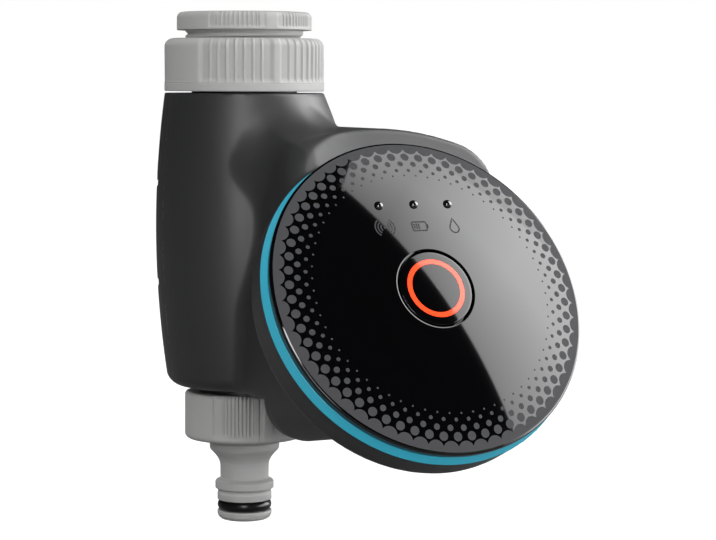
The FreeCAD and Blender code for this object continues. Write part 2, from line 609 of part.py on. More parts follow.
plunger_hole = cylinder("plunger_radius + running_gap", "3", "valve_axis_x", f"{BONNET_FRONT} + 2", "valve_axis_z", "front")
pilot_hole = cylinder("1", "8", "valve_axis_x", BONNET_BACK, "valve_axis_z", "front")
bonnet_holes = [
    cylinder(
        "1.4", "bonnet_thickness + 4", f"valve_axis_x + {side} * bonnet_screw_spacing / 2", "chamber_front + 2",
        f"valve_axis_z + {lift} * bonnet_screw_spacing / 2", "front",
    )
    for side in (-1, 1) for lift in (-1, 1)
]
keep(cut(fuse(bonnet_square, bonnet_plug), spring_pocket, plunger_hole, pilot_hole, *bonnet_holes), "valve_bonnet")


def bonnet_screw(side, lift):
    x = f"valve_axis_x + {side} * bonnet_screw_spacing / 2"
    z = f"valve_axis_z + {lift} * bonnet_screw_spacing / 2"
    return fuse(
        cylinder("2.2", "1.8", x, f"{BONNET_FRONT} - seat_gap", z, "front"),
        cylinder("1.1", "bonnet_thickness + 8", x, "chamber_front + 7.5", z, "front"),
    )


keep(group(*[bonnet_screw(side, lift) for side in (-1, 1) for lift in (-1, 1)]), "bonnet_screws")


def spring_on_valve_axis(name, radius, wire, y_back, y_front, turns):
    solid = coil(radius, wire, y_back - y_front, turns)
    item = made(name, solid)
    return place(item, "valve_axis_x", str(y_back), "valve_axis_z", "front")


keep(spring_on_valve_axis(
    "lid_spring", size("spring_pocket_radius") - 1.1, 0.6,
    size(f"{DIAPHRAGM_FRONT} - seat_gap"), size("chamber_front + seat_gap"), 4,
), "diaphragm_spring")

# Solenoid on the bonnet

PLUNGER_BACK = f"({BONNET_FRONT} + 1.7)"
PLUNGER_FRONT = f"({PLUNGER_BACK} - plunger_length)"
CORE_BACK = f"({PLUNGER_FRONT} - plunger_travel - free_gap)"
YOKE_BACK = f"({BONNET_FRONT} - seat_gap)"
COIL_BACK = f"({YOKE_BACK} - yoke_thickness - free_gap)"
YOKE_FRONT = f"({COIL_BACK} - coil_length - free_gap)"
CORE_FRONT = f"({YOKE_FRONT} - yoke_thickness)"
TUBE_RADIUS = "(plunger_radius + running_gap + tube_wall)"
keep(cut(
    cylinder("plunger_radius", "plunger_length", "valve_axis_x", PLUNGER_BACK, "valve_axis_z", "front"),
    cylinder("2.4", "6", "valve_axis_x", f"{PLUNGER_FRONT} + 5", "valve_axis_z", "front"),
    cylinder("1.9", "1.2", "valve_axis_x", f"{PLUNGER_BACK} + 0.2", "valve_axis_z", "front"),
), "plunger")
keep(cylinder("1.8", "0.95", "valve_axis_x", PLUNGER_BACK, "valve_axis_z", "front"), "plunger_seal")
keep(cut(
    cylinder("plunger_radius", f"{CORE_BACK} - {CORE_FRONT}", "valve_axis_x", CORE_BACK, "valve_axis_z", "front"),
    cylinder("2.4", "4", "valve_axis_x", f"{CORE_BACK} + 1", "valve_axis_z", "front"),
), "solenoid_core")
keep(spring_on_valve_axis(
    "pole_spring", 1.8, 0.4, size(f"{PLUNGER_FRONT} + 5 - seat_gap"), size(f"{CORE_BACK} - 3 + seat_gap"), 6,
), "plunger_spring")
keep(ring(TUBE_RADIUS, "plunger_radius + running_gap", f"{YOKE_BACK} - {CORE_FRONT}", "valve_axis_x", YOKE_BACK, "valve_axis_z", "front"), "guide_tube")
keep(fuse(
    ring("coil_radius - 1.2", f"{TUBE_RADIUS} + running_gap", "coil_length", "valve_axis_x", COIL_BACK, "valve_axis_z", "front"),
    ring("coil_radius", f"{TUBE_RADIUS} + 0.8", "1", "valve_axis_x", COIL_BACK, "valve_axis_z", "front"),
    ring("coil_radius", f"{TUBE_RADIUS} + 0.8", "1", "valve_axis_x", f"{COIL_BACK} - coil_length + 1", "valve_axis_z", "front"),
), "solenoid_coil")
yoke_plate = "yoke_thickness"
yoke_low = "valve_axis_z - coil_radius - free_gap - yoke_thickness"
yoke_plates = [
    block("yoke_width", yoke_plate, "2 * coil_radius + free_gap + yoke_thickness", "valve_axis_x - yoke_width / 2", y, yoke_low)
    for y in (f"{YOKE_BACK} - yoke_thickness", CORE_FRONT)
]
yoke_floor = block("yoke_width", f"{YOKE_BACK} - {CORE_FRONT}", yoke_plate, "valve_axis_x - yoke_width / 2", CORE_FRONT, yoke_low)
keep(cut(
    fuse(*yoke_plates, yoke_floor),
    cylinder(f"{TUBE_RADIUS} + running_gap", "40", "valve_axis_x", f"{YOKE_BACK} + 1", "valve_axis_z", "front"),
), "solenoid_yoke")

# Hose connector

NECK_TOP = f"({CONNECTOR_NUT_BOTTOM} - 8.6)"
NECK_LOW = f"({NECK_TOP} - 4.4)"
RIDGE_LOW = f"({NECK_LOW} - 2.9)"
O_RING_TOP = f"({RIDGE_LOW} - 3.9)"
O_RING_LOW = f"({O_RING_TOP} - o_ring_thickness)"
CONNECTOR_SEAT = "(outlet_bottom - washer_thickness)"
connector_blank = turned([
    ("connector_thread_radius", CONNECTOR_TOP), ("connector_radius - 1.6", CONNECTOR_TOP),
    ("connector_radius", f"{CONNECTOR_TOP} - 1.2"), ("connector_radius", CONNECTOR_NUT_BOTTOM),
    ("connector_radius - 1.5", f"{CONNECTOR_NUT_BOTTOM} - 2"), ("connector_collar_radius", f"{CONNECTOR_NUT_BOTTOM} - 3"),
    ("connector_collar_radius", f"{CONNECTOR_NUT_BOTTOM} - 4.6"), ("connector_neck_radius + 1.3", f"{CONNECTOR_NUT_BOTTOM} - 6.2"),
    ("connector_neck_radius", NECK_TOP), ("connector_neck_radius", NECK_LOW),
    ("connector_ridge_radius", f"{NECK_LOW} - 0.9"), ("connector_ridge_radius", RIDGE_LOW),
    ("connector_land_radius", f"{RIDGE_LOW} - 0.4"), ("connector_land_radius", O_RING_TOP),
    ("connector_land_radius - 1.4", O_RING_TOP), ("connector_land_radius - 1.4", O_RING_LOW),
    ("connector_land_radius", O_RING_LOW), ("connector_land_radius", "connector_tip + 1.8"),
    ("connector_land_radius - 1.3", "connector_tip + 0.4"), ("connector_land_radius - 2", "connector_tip"),
    ("connector_bore_radius", "connector_tip"), ("connector_bore_radius", CONNECTOR_SEAT),
    ("connector_thread_radius", CONNECTOR_SEAT),
], "connector")
keep(gripped(connector_blank, "connector", "connector_radius", CONNECTOR_NUT_BOTTOM, f"{CONNECTOR_TOP} - 2.2"), "hose_connector")
keep(ring(
    "connector_land_radius", "connector_land_radius - 1.4 + seat_gap", "o_ring_thickness - 2 * seat_gap", z=f"{O_RING_LOW} + seat_gap",
), "connector_o_ring")
keep(ring("connector_thread_radius - free_gap", "outlet_bore_radius", "washer_thickness - 2 * seat_gap", z=f"{CONNECTOR_SEAT} + seat_gap"), "connector_washer")

# Batteries, cradle and door

CELL_TOP = "(cell_bottom + cell_length)"
CRADLE_TOP = f"({CELL_TOP} + cell_nub_height + contact_height + free_gap)"
CRADLE_LOW = "(cell_bottom - contact_height - free_gap)"
CELL_SPOTS = [("cell_x", f"(cell_middle_y + {side} * cell_pitch / 2)") for side in (-1, 1)]
keep(group(*[
    fuse(
        cylinder("cell_radius", "cell_length", x, y, "cell_bottom"),
        cylinder("cell_nub_radius", "cell_length + cell_nub_height", x, y, "cell_bottom"),
    )
    for x, y in CELL_SPOTS
]), "battery_cells")
keep(group(*[
    centred_block("contact_width", "contact_width", "contact_height", x, y, z)
    for x, y in CELL_SPOTS
    for z in ("cell_bottom - contact_height - seat_gap", f"{CELL_TOP} + cell_nub_height + seat_gap")
]), "battery_contacts")
cradle_left = "(cell_x - cell_radius - free_gap - cradle_wall)"
cradle_front = "(cell_middle_y - cell_pitch / 2 - cell_radius + 1.5)"
cradle_width = "cell_pitch + 2 * cell_radius - 3"
cradle_foot = "(body_bottom + wall + seat_gap)"
cradle_back = block("cradle_wall", cradle_width, f"{CRADLE_TOP} - {cradle_foot} + cradle_plate", cradle_left, cradle_front, cradle_foot)
cradle_plates = [
    block("2 * cell_radius + cradle_wall - 1", cradle_width, "cradle_plate", cradle_left, cradle_front, z)
    for z in (CRADLE_TOP, f"{CRADLE_LOW} - cradle_plate")
]
keep(fuse(cradle_back, *cradle_plates), "battery_cradle")


def door_cover():
    right = size("body_right")
    inner_face = right - size("wall")
    skirt_back = inner_face - size("door_skirt")
    plate = door_solid(0.0, inner_face, right)
    skirt = door_solid(-size("door_lip"), skirt_back, inner_face)
    hollow = door_solid(-size("door_lip + door_skirt_wall"), skirt_back - 1, inner_face)
    grip_z = size("door_middle_z + door_height / 2 - door_grip_radius") - 4
    grip = Part.makeCylinder(size("door_grip_radius"), 2, FreeCAD.Vector(right - 1, size("door_middle_y"), grip_z), FreeCAD.Vector(1, 0, 0))
    return plate.fuse(skirt.cut(hollow)).cut(grip)


def door_seal():
    inner_face = size("body_right - wall")
    gap = size("seat_gap")
    outer = door_solid(-gap, inner_face - size("door_seal") + gap, inner_face - gap)
    return outer.cut(door_solid(gap - size("door_lip"), inner_face - 3, inner_face))


keep(made("door", door_cover()), "battery_cover")
keep(made("door_gasket", door_seal()), "battery_cover_seal")

# Control unit, drawn in the face's own frame

lamp_spots = [(f"{side} * lamp_pitch", "lamp_height") for side in (-1, 0, 1)]
face_blank = common(
    cylinder(FACE_RADIUS, "dome_height + face_edge + 1", z="-face_edge"),
    ball(DOME_RADIUS, z=DOME_CENTRE),
)
face_hollow = common(
    cylinder(f"{FACE_RADIUS} - face_seat", "dome_height + face_edge + 2", z="-face_edge - 1"),
    ball(f"{DOME_RADIUS} - face_thickness", z=DOME_CENTRE),
)
face_openings = [cylinder("button_hole_radius", "20", z="-5")]
face_openings += [cylinder("lamp_radius + lamp_hole_gap", "20", x, y, "-5") for x, y in lamp_spots]
keep(on_face(cut(face_blank, face_hollow, *face_openings)), "face_plate")

RIM_FRONT = "(-face_edge - seat_gap)"
RIB_TOP = "(-drum_front_depth - 0.3)"
SEAL_TOP = f"({RIB_TOP} - rib_height - seat_gap)"
RIB_LOW = f"({SEAL_TOP} - seal_height - seat_gap)"
post_spots = [(f"{POST_CIRCLE} * cos({angle} deg)", f"{POST_CIRCLE} * sin({angle} deg)") for angle in (30, 150, 270)]
bezel_blank = turned([
    (f"{SKIRT_RADIUS} - rim_lip", RIM_FRONT), (f"{FACE_RADIUS} - seat_gap", RIM_FRONT), (RIM_RADIUS, "-rim_depth"),
    (SKIRT_RADIUS, "-rim_depth"), (SKIRT_RADIUS, RIB_TOP), (RIB_RADIUS, RIB_TOP),
    (RIB_RADIUS, f"{RIB_TOP} - rib_height"), (SKIRT_RADIUS, f"{RIB_TOP} - rib_height"),
    (SKIRT_RADIUS, RIB_LOW), (RIB_RADIUS, RIB_LOW), (RIB_RADIUS, f"{RIB_LOW} - rib_height"),
    (SKIRT_RADIUS, f"{RIB_LOW} - rib_height"), (SKIRT_RADIUS, "-skirt_depth"),
    (SKIRT_INSIDE, "-skirt_depth"), (SKIRT_INSIDE, "-rim_depth"),
    (f"{SKIRT_RADIUS} - rim_lip", "-rim_depth"),
], "bezel_blank")
posts = [cylinder("post_radius", "board_depth - seat_gap - rim_depth + 0.6", x, y, "-board_depth + seat_gap") for x, y in post_spots]
post_holes = [cylinder("0.95", "4", x, y, "-board_depth - 0.5") for x, y in post_spots]
keep(on_face(cut(fuse(bezel_blank, *posts), *post_holes)), "front_bezel")
keep(on_face(turned([
    (f"{SKIRT_RADIUS} + free_gap", "-rim_depth - seat_gap"), (RIM_RADIUS, "-rim_depth - seat_gap"),
    ("drum_front_radius", "-drum_front_depth + seat_gap"), (f"{SKIRT_RADIUS} + free_gap", "-drum_front_depth + seat_gap"),
], "accent")), "accent_ring")
keep(on_face(ring(f"{DRUM_BORE} - seat_gap", f"{SKIRT_RADIUS} + seat_gap", "seal_height", z=f"{SEAL_TOP} - seal_height")), "unit_seal")

board_top = "-board_depth"
BOARD_LOW = "(-board_depth - board_thickness)"
keep(on_face(cut(
    cylinder(BOARD_RADIUS, "board_thickness", z=BOARD_LOW), *[cylinder("1.1", "6", x, y, f"{BOARD_LOW} - 2") for x, y in post_spots],
)), "circuit_board")
keep(on_face(group(*[
    fuse(
        cylinder("1.9", "1.2", x, y, f"{BOARD_LOW} - seat_gap - 1.2"),
        cylinder("0.9", "board_thickness + 3", x, y, f"{BOARD_LOW} - seat_gap - 0.6"),
    )
    for x, y in post_spots
])), "board_screws")
keep(on_face(cylinder(SKIRT_RADIUS, "back_plate", z="-skirt_depth - seat_gap - back_plate")), "unit_back_cover")
keep(on_face(group(
    centred_block("17", "12", "2.4", "20", "-14", board_top),
    centred_block("9", "9", "1.2", "-16", "-12", board_top),
    centred_block("4", "12", "3.2", "-26", "6", board_top),
    centred_block("7", "5", "2.6", "0", "-26", board_top),
)), "radio_and_chips")
keep(on_face(group(*[centred_block("2.4", "2.4", "1", x, y, board_top) for x, y in lamp_spots])), "indicator_leds")


def lamp(x, y):
    """A light guide that ends in a small dome on the face."""
    surface = f"(dome_height - lamp_height ^ 2 / (2 * {DOME_RADIUS}) - 0.2)"
    stick = cylinder("lamp_radius", f"{surface} + board_depth - 1 - free_gap", x, y, "-board_depth + 1 + free_gap")
    return fuse(stick, ball("lamp_radius", x, y, surface))


keep(on_face(group(*[lamp(x, y) for x, y in lamp_spots])), "status_lights")

# Push button with its light ring, switch and spring

STEM_LOW = "(-button_stem_depth)"
button_blank = fuse(
    common(cylinder("button_radius", "10", z="button_floor"), ball(DOME_RADIUS, z=DOME_CENTRE)),
    cylinder("button_flange_radius", "button_flange_height", z="button_floor"),
    cylinder("button_stem_radius", "button_floor - " + STEM_LOW + " + 0.5", z=STEM_LOW),
)
keep(on_face(cut(button_blank, ring("light_outer_radius", "light_inner_radius", "6", z="light_floor"))), "push_button")
keep(on_face(common(
    ring("light_outer_radius - 0.02", "light_inner_radius + 0.02", "6", z="light_floor + 0.02"),
    ball(DOME_RADIUS, z=DOME_CENTRE),
)), "button_light_ring")
keep(on_face(cylinder("1.6", f"{STEM_LOW} - seat_gap + board_depth - 1.2", z="-board_depth + 1.2")), "switch_cap")
keep(on_face(cut(
    centred_block("6", "6", "3.3", "0", "0", board_top),
    cylinder("1.7", "10", z="-board_depth + 1.2 - button_stroke - 0.2"),
)), "button_switch")
return_spring = made("return_spring", coil(5.2, 0.5, size("button_floor + board_depth - 2 * seat_gap"), 5))
keep(on_face(place(return_spring, z="seat_gap - board_depth")), "button_spring")

doc.recompute()

for item in doc.Objects:
    if "Invalid" in item.State or "Error" in item.State:
        raise SystemExit(f"{item.Name} ({item.Label}) failed: {item.State}")
triangles = 0
for item in PARTS:
    if item.Shape.isNull() or not item.Shape.isValid() or not item.Shape.Solids:
        raise SystemExit(f"{item.Label} has no valid shape")
    count = len(item.Shape.tessellate(0.2)[1])
    triangles += count
    print(f"{item.Label:22s} solids {len(item.Shape.Solids)}  volume {item.Shape.Volume:9.1f}  triangles {count}")
print(f"{len(PARTS)} nodes, {triangles} triangles")

os.makedirs("parts", exist_ok=True)
for item in PARTS:
    item.Shape.exportStep(f"parts/{item.Label}.step")
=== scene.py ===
import json
import math
from functools import reduce

import bpy
import numpy as np
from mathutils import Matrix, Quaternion, Vector


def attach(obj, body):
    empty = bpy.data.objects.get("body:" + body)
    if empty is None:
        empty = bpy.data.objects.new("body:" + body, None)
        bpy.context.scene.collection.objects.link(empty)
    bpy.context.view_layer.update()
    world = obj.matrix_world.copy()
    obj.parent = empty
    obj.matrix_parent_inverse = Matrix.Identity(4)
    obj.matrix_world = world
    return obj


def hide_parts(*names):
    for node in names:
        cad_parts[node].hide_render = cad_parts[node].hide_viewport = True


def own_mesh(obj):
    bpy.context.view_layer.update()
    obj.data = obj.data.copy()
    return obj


# Looks of the smart irrigation controller. Shapes are worked out in millimetres, in the part's own
# axes, and turned into metres as they become meshes. The studio round them is given in metres.

MM = 0.001
TILT = math.radians(28.6)
FACE_CENTRE = np.array([22.0, -70.5, -75.0])
FACE_UP = np.array([0.0, math.sin(TILT), math.cos(TILT)])
FACE_OUT = np.array([0.0, -math.cos(TILT), math.sin(TILT)])
FACE_RADIUS = 44.6
DOME_HEIGHT = 4.6
DOME_RADIUS = (FACE_RADIUS ** 2 + DOME_HEIGHT ** 2) / (2 * DOME_HEIGHT)

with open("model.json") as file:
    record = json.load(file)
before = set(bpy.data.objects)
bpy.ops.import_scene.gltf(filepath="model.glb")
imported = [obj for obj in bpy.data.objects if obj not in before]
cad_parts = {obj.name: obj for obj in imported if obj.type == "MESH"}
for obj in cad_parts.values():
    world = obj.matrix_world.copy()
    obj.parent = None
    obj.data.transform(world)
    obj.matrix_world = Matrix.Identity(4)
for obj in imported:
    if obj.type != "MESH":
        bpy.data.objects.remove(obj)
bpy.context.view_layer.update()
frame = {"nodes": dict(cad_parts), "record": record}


# Materials

CLOUD_SCALE = 70
TONE_RANGE = (0.96, 1.04)
ROUGHNESS_RANGE = (0.93, 1.07)
EDGE_POINTINESS = (0.53, 0.62)
GRAIN_HEIGHT = 0.00001


def linear_from(color):
    """Linear values of an sRGB colour that is given from 0 to 255."""
    shares = [channel / 255 for channel in color]
    return [((share + 0.055) / 1.055) ** 2.4 if share > 0.04045 else share / 12.92 for share in shares]


def shaded(linear, share, lift=0.0):
    """A linear colour made darker or lighter, with its alpha."""
    return (*(min(1, channel * share + lift) for channel in linear), 1)


def material(name, color, roughness, metallic=0.0, emission=0.0, specular=0.5,
             grain=0.0, grain_scale=4000.0, wear=0.0):
    """A procedural surface, its colour given as sRGB values from 0 to 255.

    grain is the strength of a fine moulded relief, and wear how far rubbed edges turn lighter.
    """
    made = bpy.data.materials.new(name)
    made.use_nodes = True
    nodes = made.node_tree.nodes
    links = made.node_tree.links
    shader = nodes["Principled BSDF"]
    linear = linear_from(color)
    shader.inputs["Metallic"].default_value = metallic
    shader.inputs["Specular IOR Level"].default_value = specular
    if emission:
        shader.inputs["Emission Color"].default_value = (*linear, 1)
        shader.inputs["Emission Strength"].default_value = emission
    place = nodes.new("ShaderNodeTexCoord")
    clouds = nodes.new("ShaderNodeTexNoise")
    clouds.inputs["Scale"].default_value = CLOUD_SCALE
    clouds.inputs["Detail"].default_value = 4
    links.new(place.outputs["Object"], clouds.inputs["Vector"])
    shade = nodes.new("ShaderNodeMix")
    shade.data_type = "RGBA"
    for socket, share in zip("AB", TONE_RANGE):
        shade.inputs[socket].default_value = shaded(linear, share)
    links.new(clouds.outputs["Fac"], shade.inputs["Factor"])
    tone = shade.outputs["Result"]
    if wear:
        form = nodes.new("ShaderNodeNewGeometry")
        edge = nodes.new("ShaderNodeMapRange")
        edge.inputs["From Min"].default_value, edge.inputs["From Max"].default_value = EDGE_POINTINESS
        edge.inputs["To Max"].default_value = wear
        links.new(form.outputs["Pointiness"], edge.inputs["Value"])
        rubbed = nodes.new("ShaderNodeMix")
        rubbed.data_type = "RGBA"
        rubbed.inputs["B"].default_value = shaded(linear, 1.5, 0.01)
        links.new(edge.outputs["Result"], rubbed.inputs["Factor"])
        links.new(tone, rubbed.inputs["A"])
        tone = rubbed.outputs["Result"]
    links.new(tone, shader.inputs["Base Color"])
    spread = nodes.new("ShaderNodeMapRange")
    for socket, share in zip(("To Min", "To Max"), ROUGHNESS_RANGE):
        spread.inputs[socket].default_value = roughness * share
    links.new(clouds.outputs["Fac"], spread.inputs["Value"])
    links.new(spread.outputs["Result"], shader.inputs["Roughness"])
    if grain:
        speckle = nodes.new("ShaderNodeTexNoise")
        speckle.inputs["Scale"].default_value = grain_scale
        speckle.inputs["Detail"].default_value = 2
        links.new(place.outputs["Object"], speckle.inputs["Vector"])
        relief = nodes.new("ShaderNodeBump")
        relief.inputs["Strength"].default_value = grain
        relief.inputs["Distance"].default_value = GRAIN_HEIGHT
        links.new(speckle.outputs["Fac"], relief.inputs["Height"])
        links.new(relief.outputs["Normal"], shader.inputs["Normal"])
    return made


def add_bands(made, axis, pitch, depth):
    """Add fine parallel ridges, such as wire turns or a woven mesh. The sizes are in metres."""
    nodes, links = made.node_tree.nodes, made.node_tree.links
    shader = nodes["Principled BSDF"]
    wave = nodes.new("ShaderNodeTexWave")
    wave.bands_direction = axis
    wave.inputs["Scale"].default_value = math.pi / 10 / pitch
    links.new(nodes["Texture Coordinate"].outputs["Object"], wave.inputs["Vector"])
    relief = nodes.new("ShaderNodeBump")
    relief.inputs["Distance"].default_value = depth
    links.new(wave.outputs["Fac"], relief.inputs["Height"])
    if shader.inputs["Normal"].is_linked:
        links.new(shader.inputs["Normal"].links[0].from_socket, relief.inputs["Normal"])
    links.new(relief.outputs["Normal"], shader.inputs["Normal"])


SURFACES = {
    "dark_shell": dict(color=(40, 40, 41), roughness=0.46, grain=0.35, wear=0.25),
    "grey_plastic": dict(color=(158, 158, 157), roughness=0.55, specular=0.3, grain=0.15, wear=0.2),
    "black_gloss": dict(color=(3, 3, 4), roughness=0.04, grain=0.02, grain_scale=400.0),
    "rim_black": dict(color=(14, 14, 15), roughness=0.3, grain=0.1),
    "dot_print": dict(color=(64, 64, 66), roughness=0.5, specular=0.04, grain=0.1),
    "symbol_print": dict(color=(60, 60, 62), roughness=0.5, specular=0.04, grain=0.1),
    # The blue accent's glow is painted light: the ring is no lamp, and the glow lifts its shaded lower part.
    "blue_accent": dict(color=(40, 143, 166), roughness=0.4, emission=0.3, grain=0.1),
    "orange_light": dict(color=(255, 68, 34), roughness=0.06, emission=0.75, grain=0.02),
    "clear_light": dict(color=(190, 192, 195), roughness=0.08, grain=0.02),
    "lamp_glass": dict(color=(10, 10, 11), roughness=0.04, specular=1.0, grain=0.01),
    "inner_plastic": dict(color=(60, 60, 62), roughness=0.6, grain=0.4),
    "valve_black": dict(color=(20, 20, 21), roughness=0.45, grain=0.4),
    "white_plastic": dict(color=(214, 214, 210), roughness=0.45, grain=0.3),
    "rubber": dict(color=(9, 9, 9), roughness=0.3, specular=0.3, grain=0.1),
    "steel": dict(color=(180, 181, 183), roughness=0.3, metallic=1.0, grain=0.3, grain_scale=1500.0),
    "copper_winding": dict(color=(178, 96, 52), roughness=0.35, metallic=0.9),
    "board_green": dict(color=(24, 92, 56), roughness=0.45, grain=0.5, grain_scale=900.0),
    "chip_black": dict(color=(26, 26, 28), roughness=0.5, grain=0.4),
    "filter_mesh": dict(color=(170, 172, 174), roughness=0.5),
    "battery_jacket": dict(color=(70, 74, 80), roughness=0.3, grain=0.1),
}
LOOKS = {name: material(name, **surface) for name, surface in SURFACES.items()}
add_bands(LOOKS["copper_winding"], "Y", 0.00035, 0.00012)
add_bands(LOOKS["filter_mesh"], "Z", 0.0005, 0.0002)
add_bands(LOOKS["filter_mesh"], "DIAGONAL", 0.0006, 0.0002)

# The record calls the valve body white. Here it is painted black all over, as painted shade for the dark gap
# above the hose connector.
PAINTED_SHADE_LOOKS = {"valve_body": "valve_black"}

for entry in frame["record"]["subparts"]:
    look = LOOKS[PAINTED_SHADE_LOOKS.get(entry["node"], entry["material_slot"])]
    for slot in frame["nodes"][entry["node"]].material_slots:
        slot.material = look


# Meshes

def placed(name, data):
    """A new object in the scene."""
    item = bpy.data.objects.new(name, data)
    bpy.context.scene.collection.objects.link(item)
    return item


def piece(name, points, faces, look, body, stands_for=(), sharp=32.0):
    """A named mesh that rides on a CAD body, with the edges steeper than an angle left sharp."""
    mesh = bpy.data.meshes.new(name)
    mesh.from_pydata((np.asarray(points) * MM).tolist(), [], [tuple(int(i) for i in face) for face in faces])
    mesh.update()
    mesh.shade_smooth()
    mesh.set_sharp_from_angle(angle=math.radians(sharp))
    mesh.materials.append(LOOKS[look])
    item = placed(name, mesh)
    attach(item, body)
    if stands_for:
        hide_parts(*stands_for)


def on_face(across, up, out):
    """Points of the control face's frame as points of the part."""
    across, up, out = np.broadcast_arrays(across, up, out)
    spot = FACE_CENTRE + np.multiply.outer(up, FACE_UP) + np.multiply.outer(out, FACE_OUT)
    spot[..., 0] += across
    return spot


def dome(radius):
    """Height of the face's dome above the plane of its edge."""
    return np.sqrt(DOME_RADIUS ** 2 - np.square(radius)) - DOME_RADIUS + DOME_HEIGHT


def arc(centre, radius, start, end, steps):
    """Points of an arc in an outline, each a radius and a height, with the angles in degrees."""
    angles = np.radians(np.linspace(start, end, steps))
    return [(centre[0] + radius * math.cos(a), centre[1] + radius * math.sin(a)) for a in angles]


def lathe(outline, segments, relief=None):
    """Points and faces of an outline turned about its own Z. relief gives each point a change of radius."""
    radius, height = np.array(outline, dtype=float).T
    angles = np.linspace(0, 2 * math.pi, segments, endpoint=False)
    angle, radius = np.meshgrid(angles, radius, indexing="ij")
    height = np.broadcast_to(height, radius.shape)
    if relief is not None:
        radius = radius + relief(angle, radius, height)
    points = np.stack([radius * np.cos(angle), radius * np.sin(angle), height], axis=-1).reshape(-1, 3)
    count = len(outline)
    first = np.arange(segments)[:, None] * count
    second = (np.arange(segments)[:, None] + 1) % segments * count
    here = np.arange(count)[None, :]
    there = (here + 1) % count
    faces = np.stack([first + here, second + here, second + there, first + there], axis=-1).reshape(-1, 4)
    return points, faces


def face_lathe(outline, segments):
    """An outline turned about the control face's own axis."""
    points, faces = lathe(outline, segments)
    return on_face(points[:, 0], points[:, 1], points[:, 2]), faces


def subdivided(outline, step):
    """An outline with its long sides cut into short ones."""
    points = []
    for index, (radius, height) in enumerate(outline):
        next_radius, next_height = outline[(index + 1) % len(outline)]
        count = max(1, math.ceil(math.hypot(next_radius - radius, next_height - height) / step))
        for part in range(count):
            share = part / count
            points.append((radius + (next_radius - radius) * share, height + (next_height - height) * share))
    return points


def ramp(value, low, high):
    """0 below low and 1 above high, with a smooth change between them."""
    share = np.clip((value - low) / (high - low), 0, 1)
    return share * share * (3 - 2 * share)


def fade(value, low, high):
    """1 below low and 0 above high, with a smooth change between them."""
    return ramp(-value, -high, -low)


# Housing: distances to simple shapes, joined with round blends, and a mesh drawn on their surface

def common(*shapes):
    """What several distances share, with sharp edges."""
    return reduce(np.maximum, shapes)


def union(*shapes):
    """Several distances together, with sharp edges."""
    return reduce(np.minimum, shapes)


def between(value, low, high):
    """Distance to the space between two parallel planes."""
    return np.maximum(low - value, value - high)


def round_union(a, b, radius):
    """Join two distances with a concave round of a radius."""
    near_a = np.maximum(radius - a, 0)
    near_b = np.maximum(radius - b, 0)
    return np.maximum(radius, np.minimum(a, b)) - np.hypot(near_a, near_b)


def round_common(a, b, radius):
    """Keep what two distances share, with a convex round of a radius."""
    return -round_union(-a, -b, radius)


def circle_through(first, second, third):
    """Centre and radius of the circle through three points."""
    (ax, ay), (bx, by), (cx, cy) = first, second, third
    a, b, c = ax ** 2 + ay ** 2, bx ** 2 + by ** 2, cx ** 2 + cy ** 2
    d = 2 * (ax * (by - cy) + bx * (cy - ay) + cx * (ay - by))
    centre_x = (a * (by - cy) + b * (cy - ay) + c * (ay - by)) / d
    centre_y = (a * (cx - bx) + b * (ax - cx) + c * (bx - ax)) / d
    return (centre_x, centre_y), math.hypot(ax - centre_x, ay - centre_y)


# Barrel
BARREL_TOP = -22.7
BARREL_BOTTOM = -105.5
BARREL_ARC = circle_through((22.44, BARREL_TOP), (25.05, -62.1), (22.15, -101.5))
BARREL_TOP_ROUND = 0.5
BARREL_FOOT_ROUND = 3.8
FLARE_SLOPE = 0.27
FLARE_HEIGHT = 10

# Body, seen from the front, and its round right edge at the back
CROWN_X = 23.5
CROWN_TOP = -32.2
CROWN_RADIUS = 75.0
BODY_HALF_WIDTH = 33.5
SHOULDER = 12.0
RIGHT = 57.0
BACK_ROUND = 12.0

# The body's round upper left corner, and how far the wall below it leans in
CORNER_X = 6.0
CORNER_Z = -48.2
CORNER_RADIUS = 16.0
WALL_LEAN = 4.0

# The body's underside, which rises in front of a bend, and the step that leaves the barrel's foot free
BODY_FLOOR = -116.7
FLOOR_BEND = -40.0
FLOOR_SLOPE = 0.18
FLOOR_ROUND = 12.0
FOOT_RIGHT = 26.0
FOOT_FRONT = -35.0

# The slope behind the drum, and its bulge towards the left
SLOPE_DEPTH = -10.5
BULGE_EDGE = 20.0
BULGE_WIDTH = 17.0
BULGE_CURVE = 0.0045

# Drum
DRUM_FRONT = -5.8
DRUM_BACK = -16.0
DRUM_RADIUS = 45.3
DRUM_TAPER = 0.0833
DRUM_ROUND = 2.6

# Blends between the three forms. The neck's round widens in front of NECK_Y.
SMALL_ROUND = 1.5
DRUM_BLEND = 2.0
NECK_Y = -8.0

# Rooms inside
WALL = 2.4
UNIT_SEAT_RADIUS = 41.8
UNIT_SEAT_DEPTH = -14.4
BORE_RADIUS = 19.5
BORE_TOP = -25.7
BORE_BOTTOM = -103.5
INLET_RADIUS = 15.1
INLET_BOTTOM = -30.0
OUTLET_RADIUS = 13.6
OUTLET_TOP = -100.0
WINDOW_X, WINDOW_Z = 6.0, -76.0
WINDOW_HALF = 13.3
WINDOW_FRONT = -31.0
WINDOW_SKIN = 1.3

# Opening for the battery cover, with the ledge that it seats on
DOOR_Y, DOOR_Z = -26.5, -77.1
DOOR_HALF_LENGTH = 14.0
DOOR_HALF_HEIGHT = 26.8
DOOR_CORNER = 4.0
DOOR_GAP = 0.3
LEDGE_WIDTH = 2.0
LEDGE_X = (51.6, 54.6)
DOOR_SEAT_X = 53.4
OPENING_INSET = 1.7
OPENING_X = 50.6

# Rear cover
COVER_SCREWS = [(x, z) for x in (-21.4, 21.4) for z in (-48.0, -76.0)]
SCREW_POCKET_RADIUS = 2.2
SCREW_POCKET_Y = 5.5
COVER_GAP = 0.03


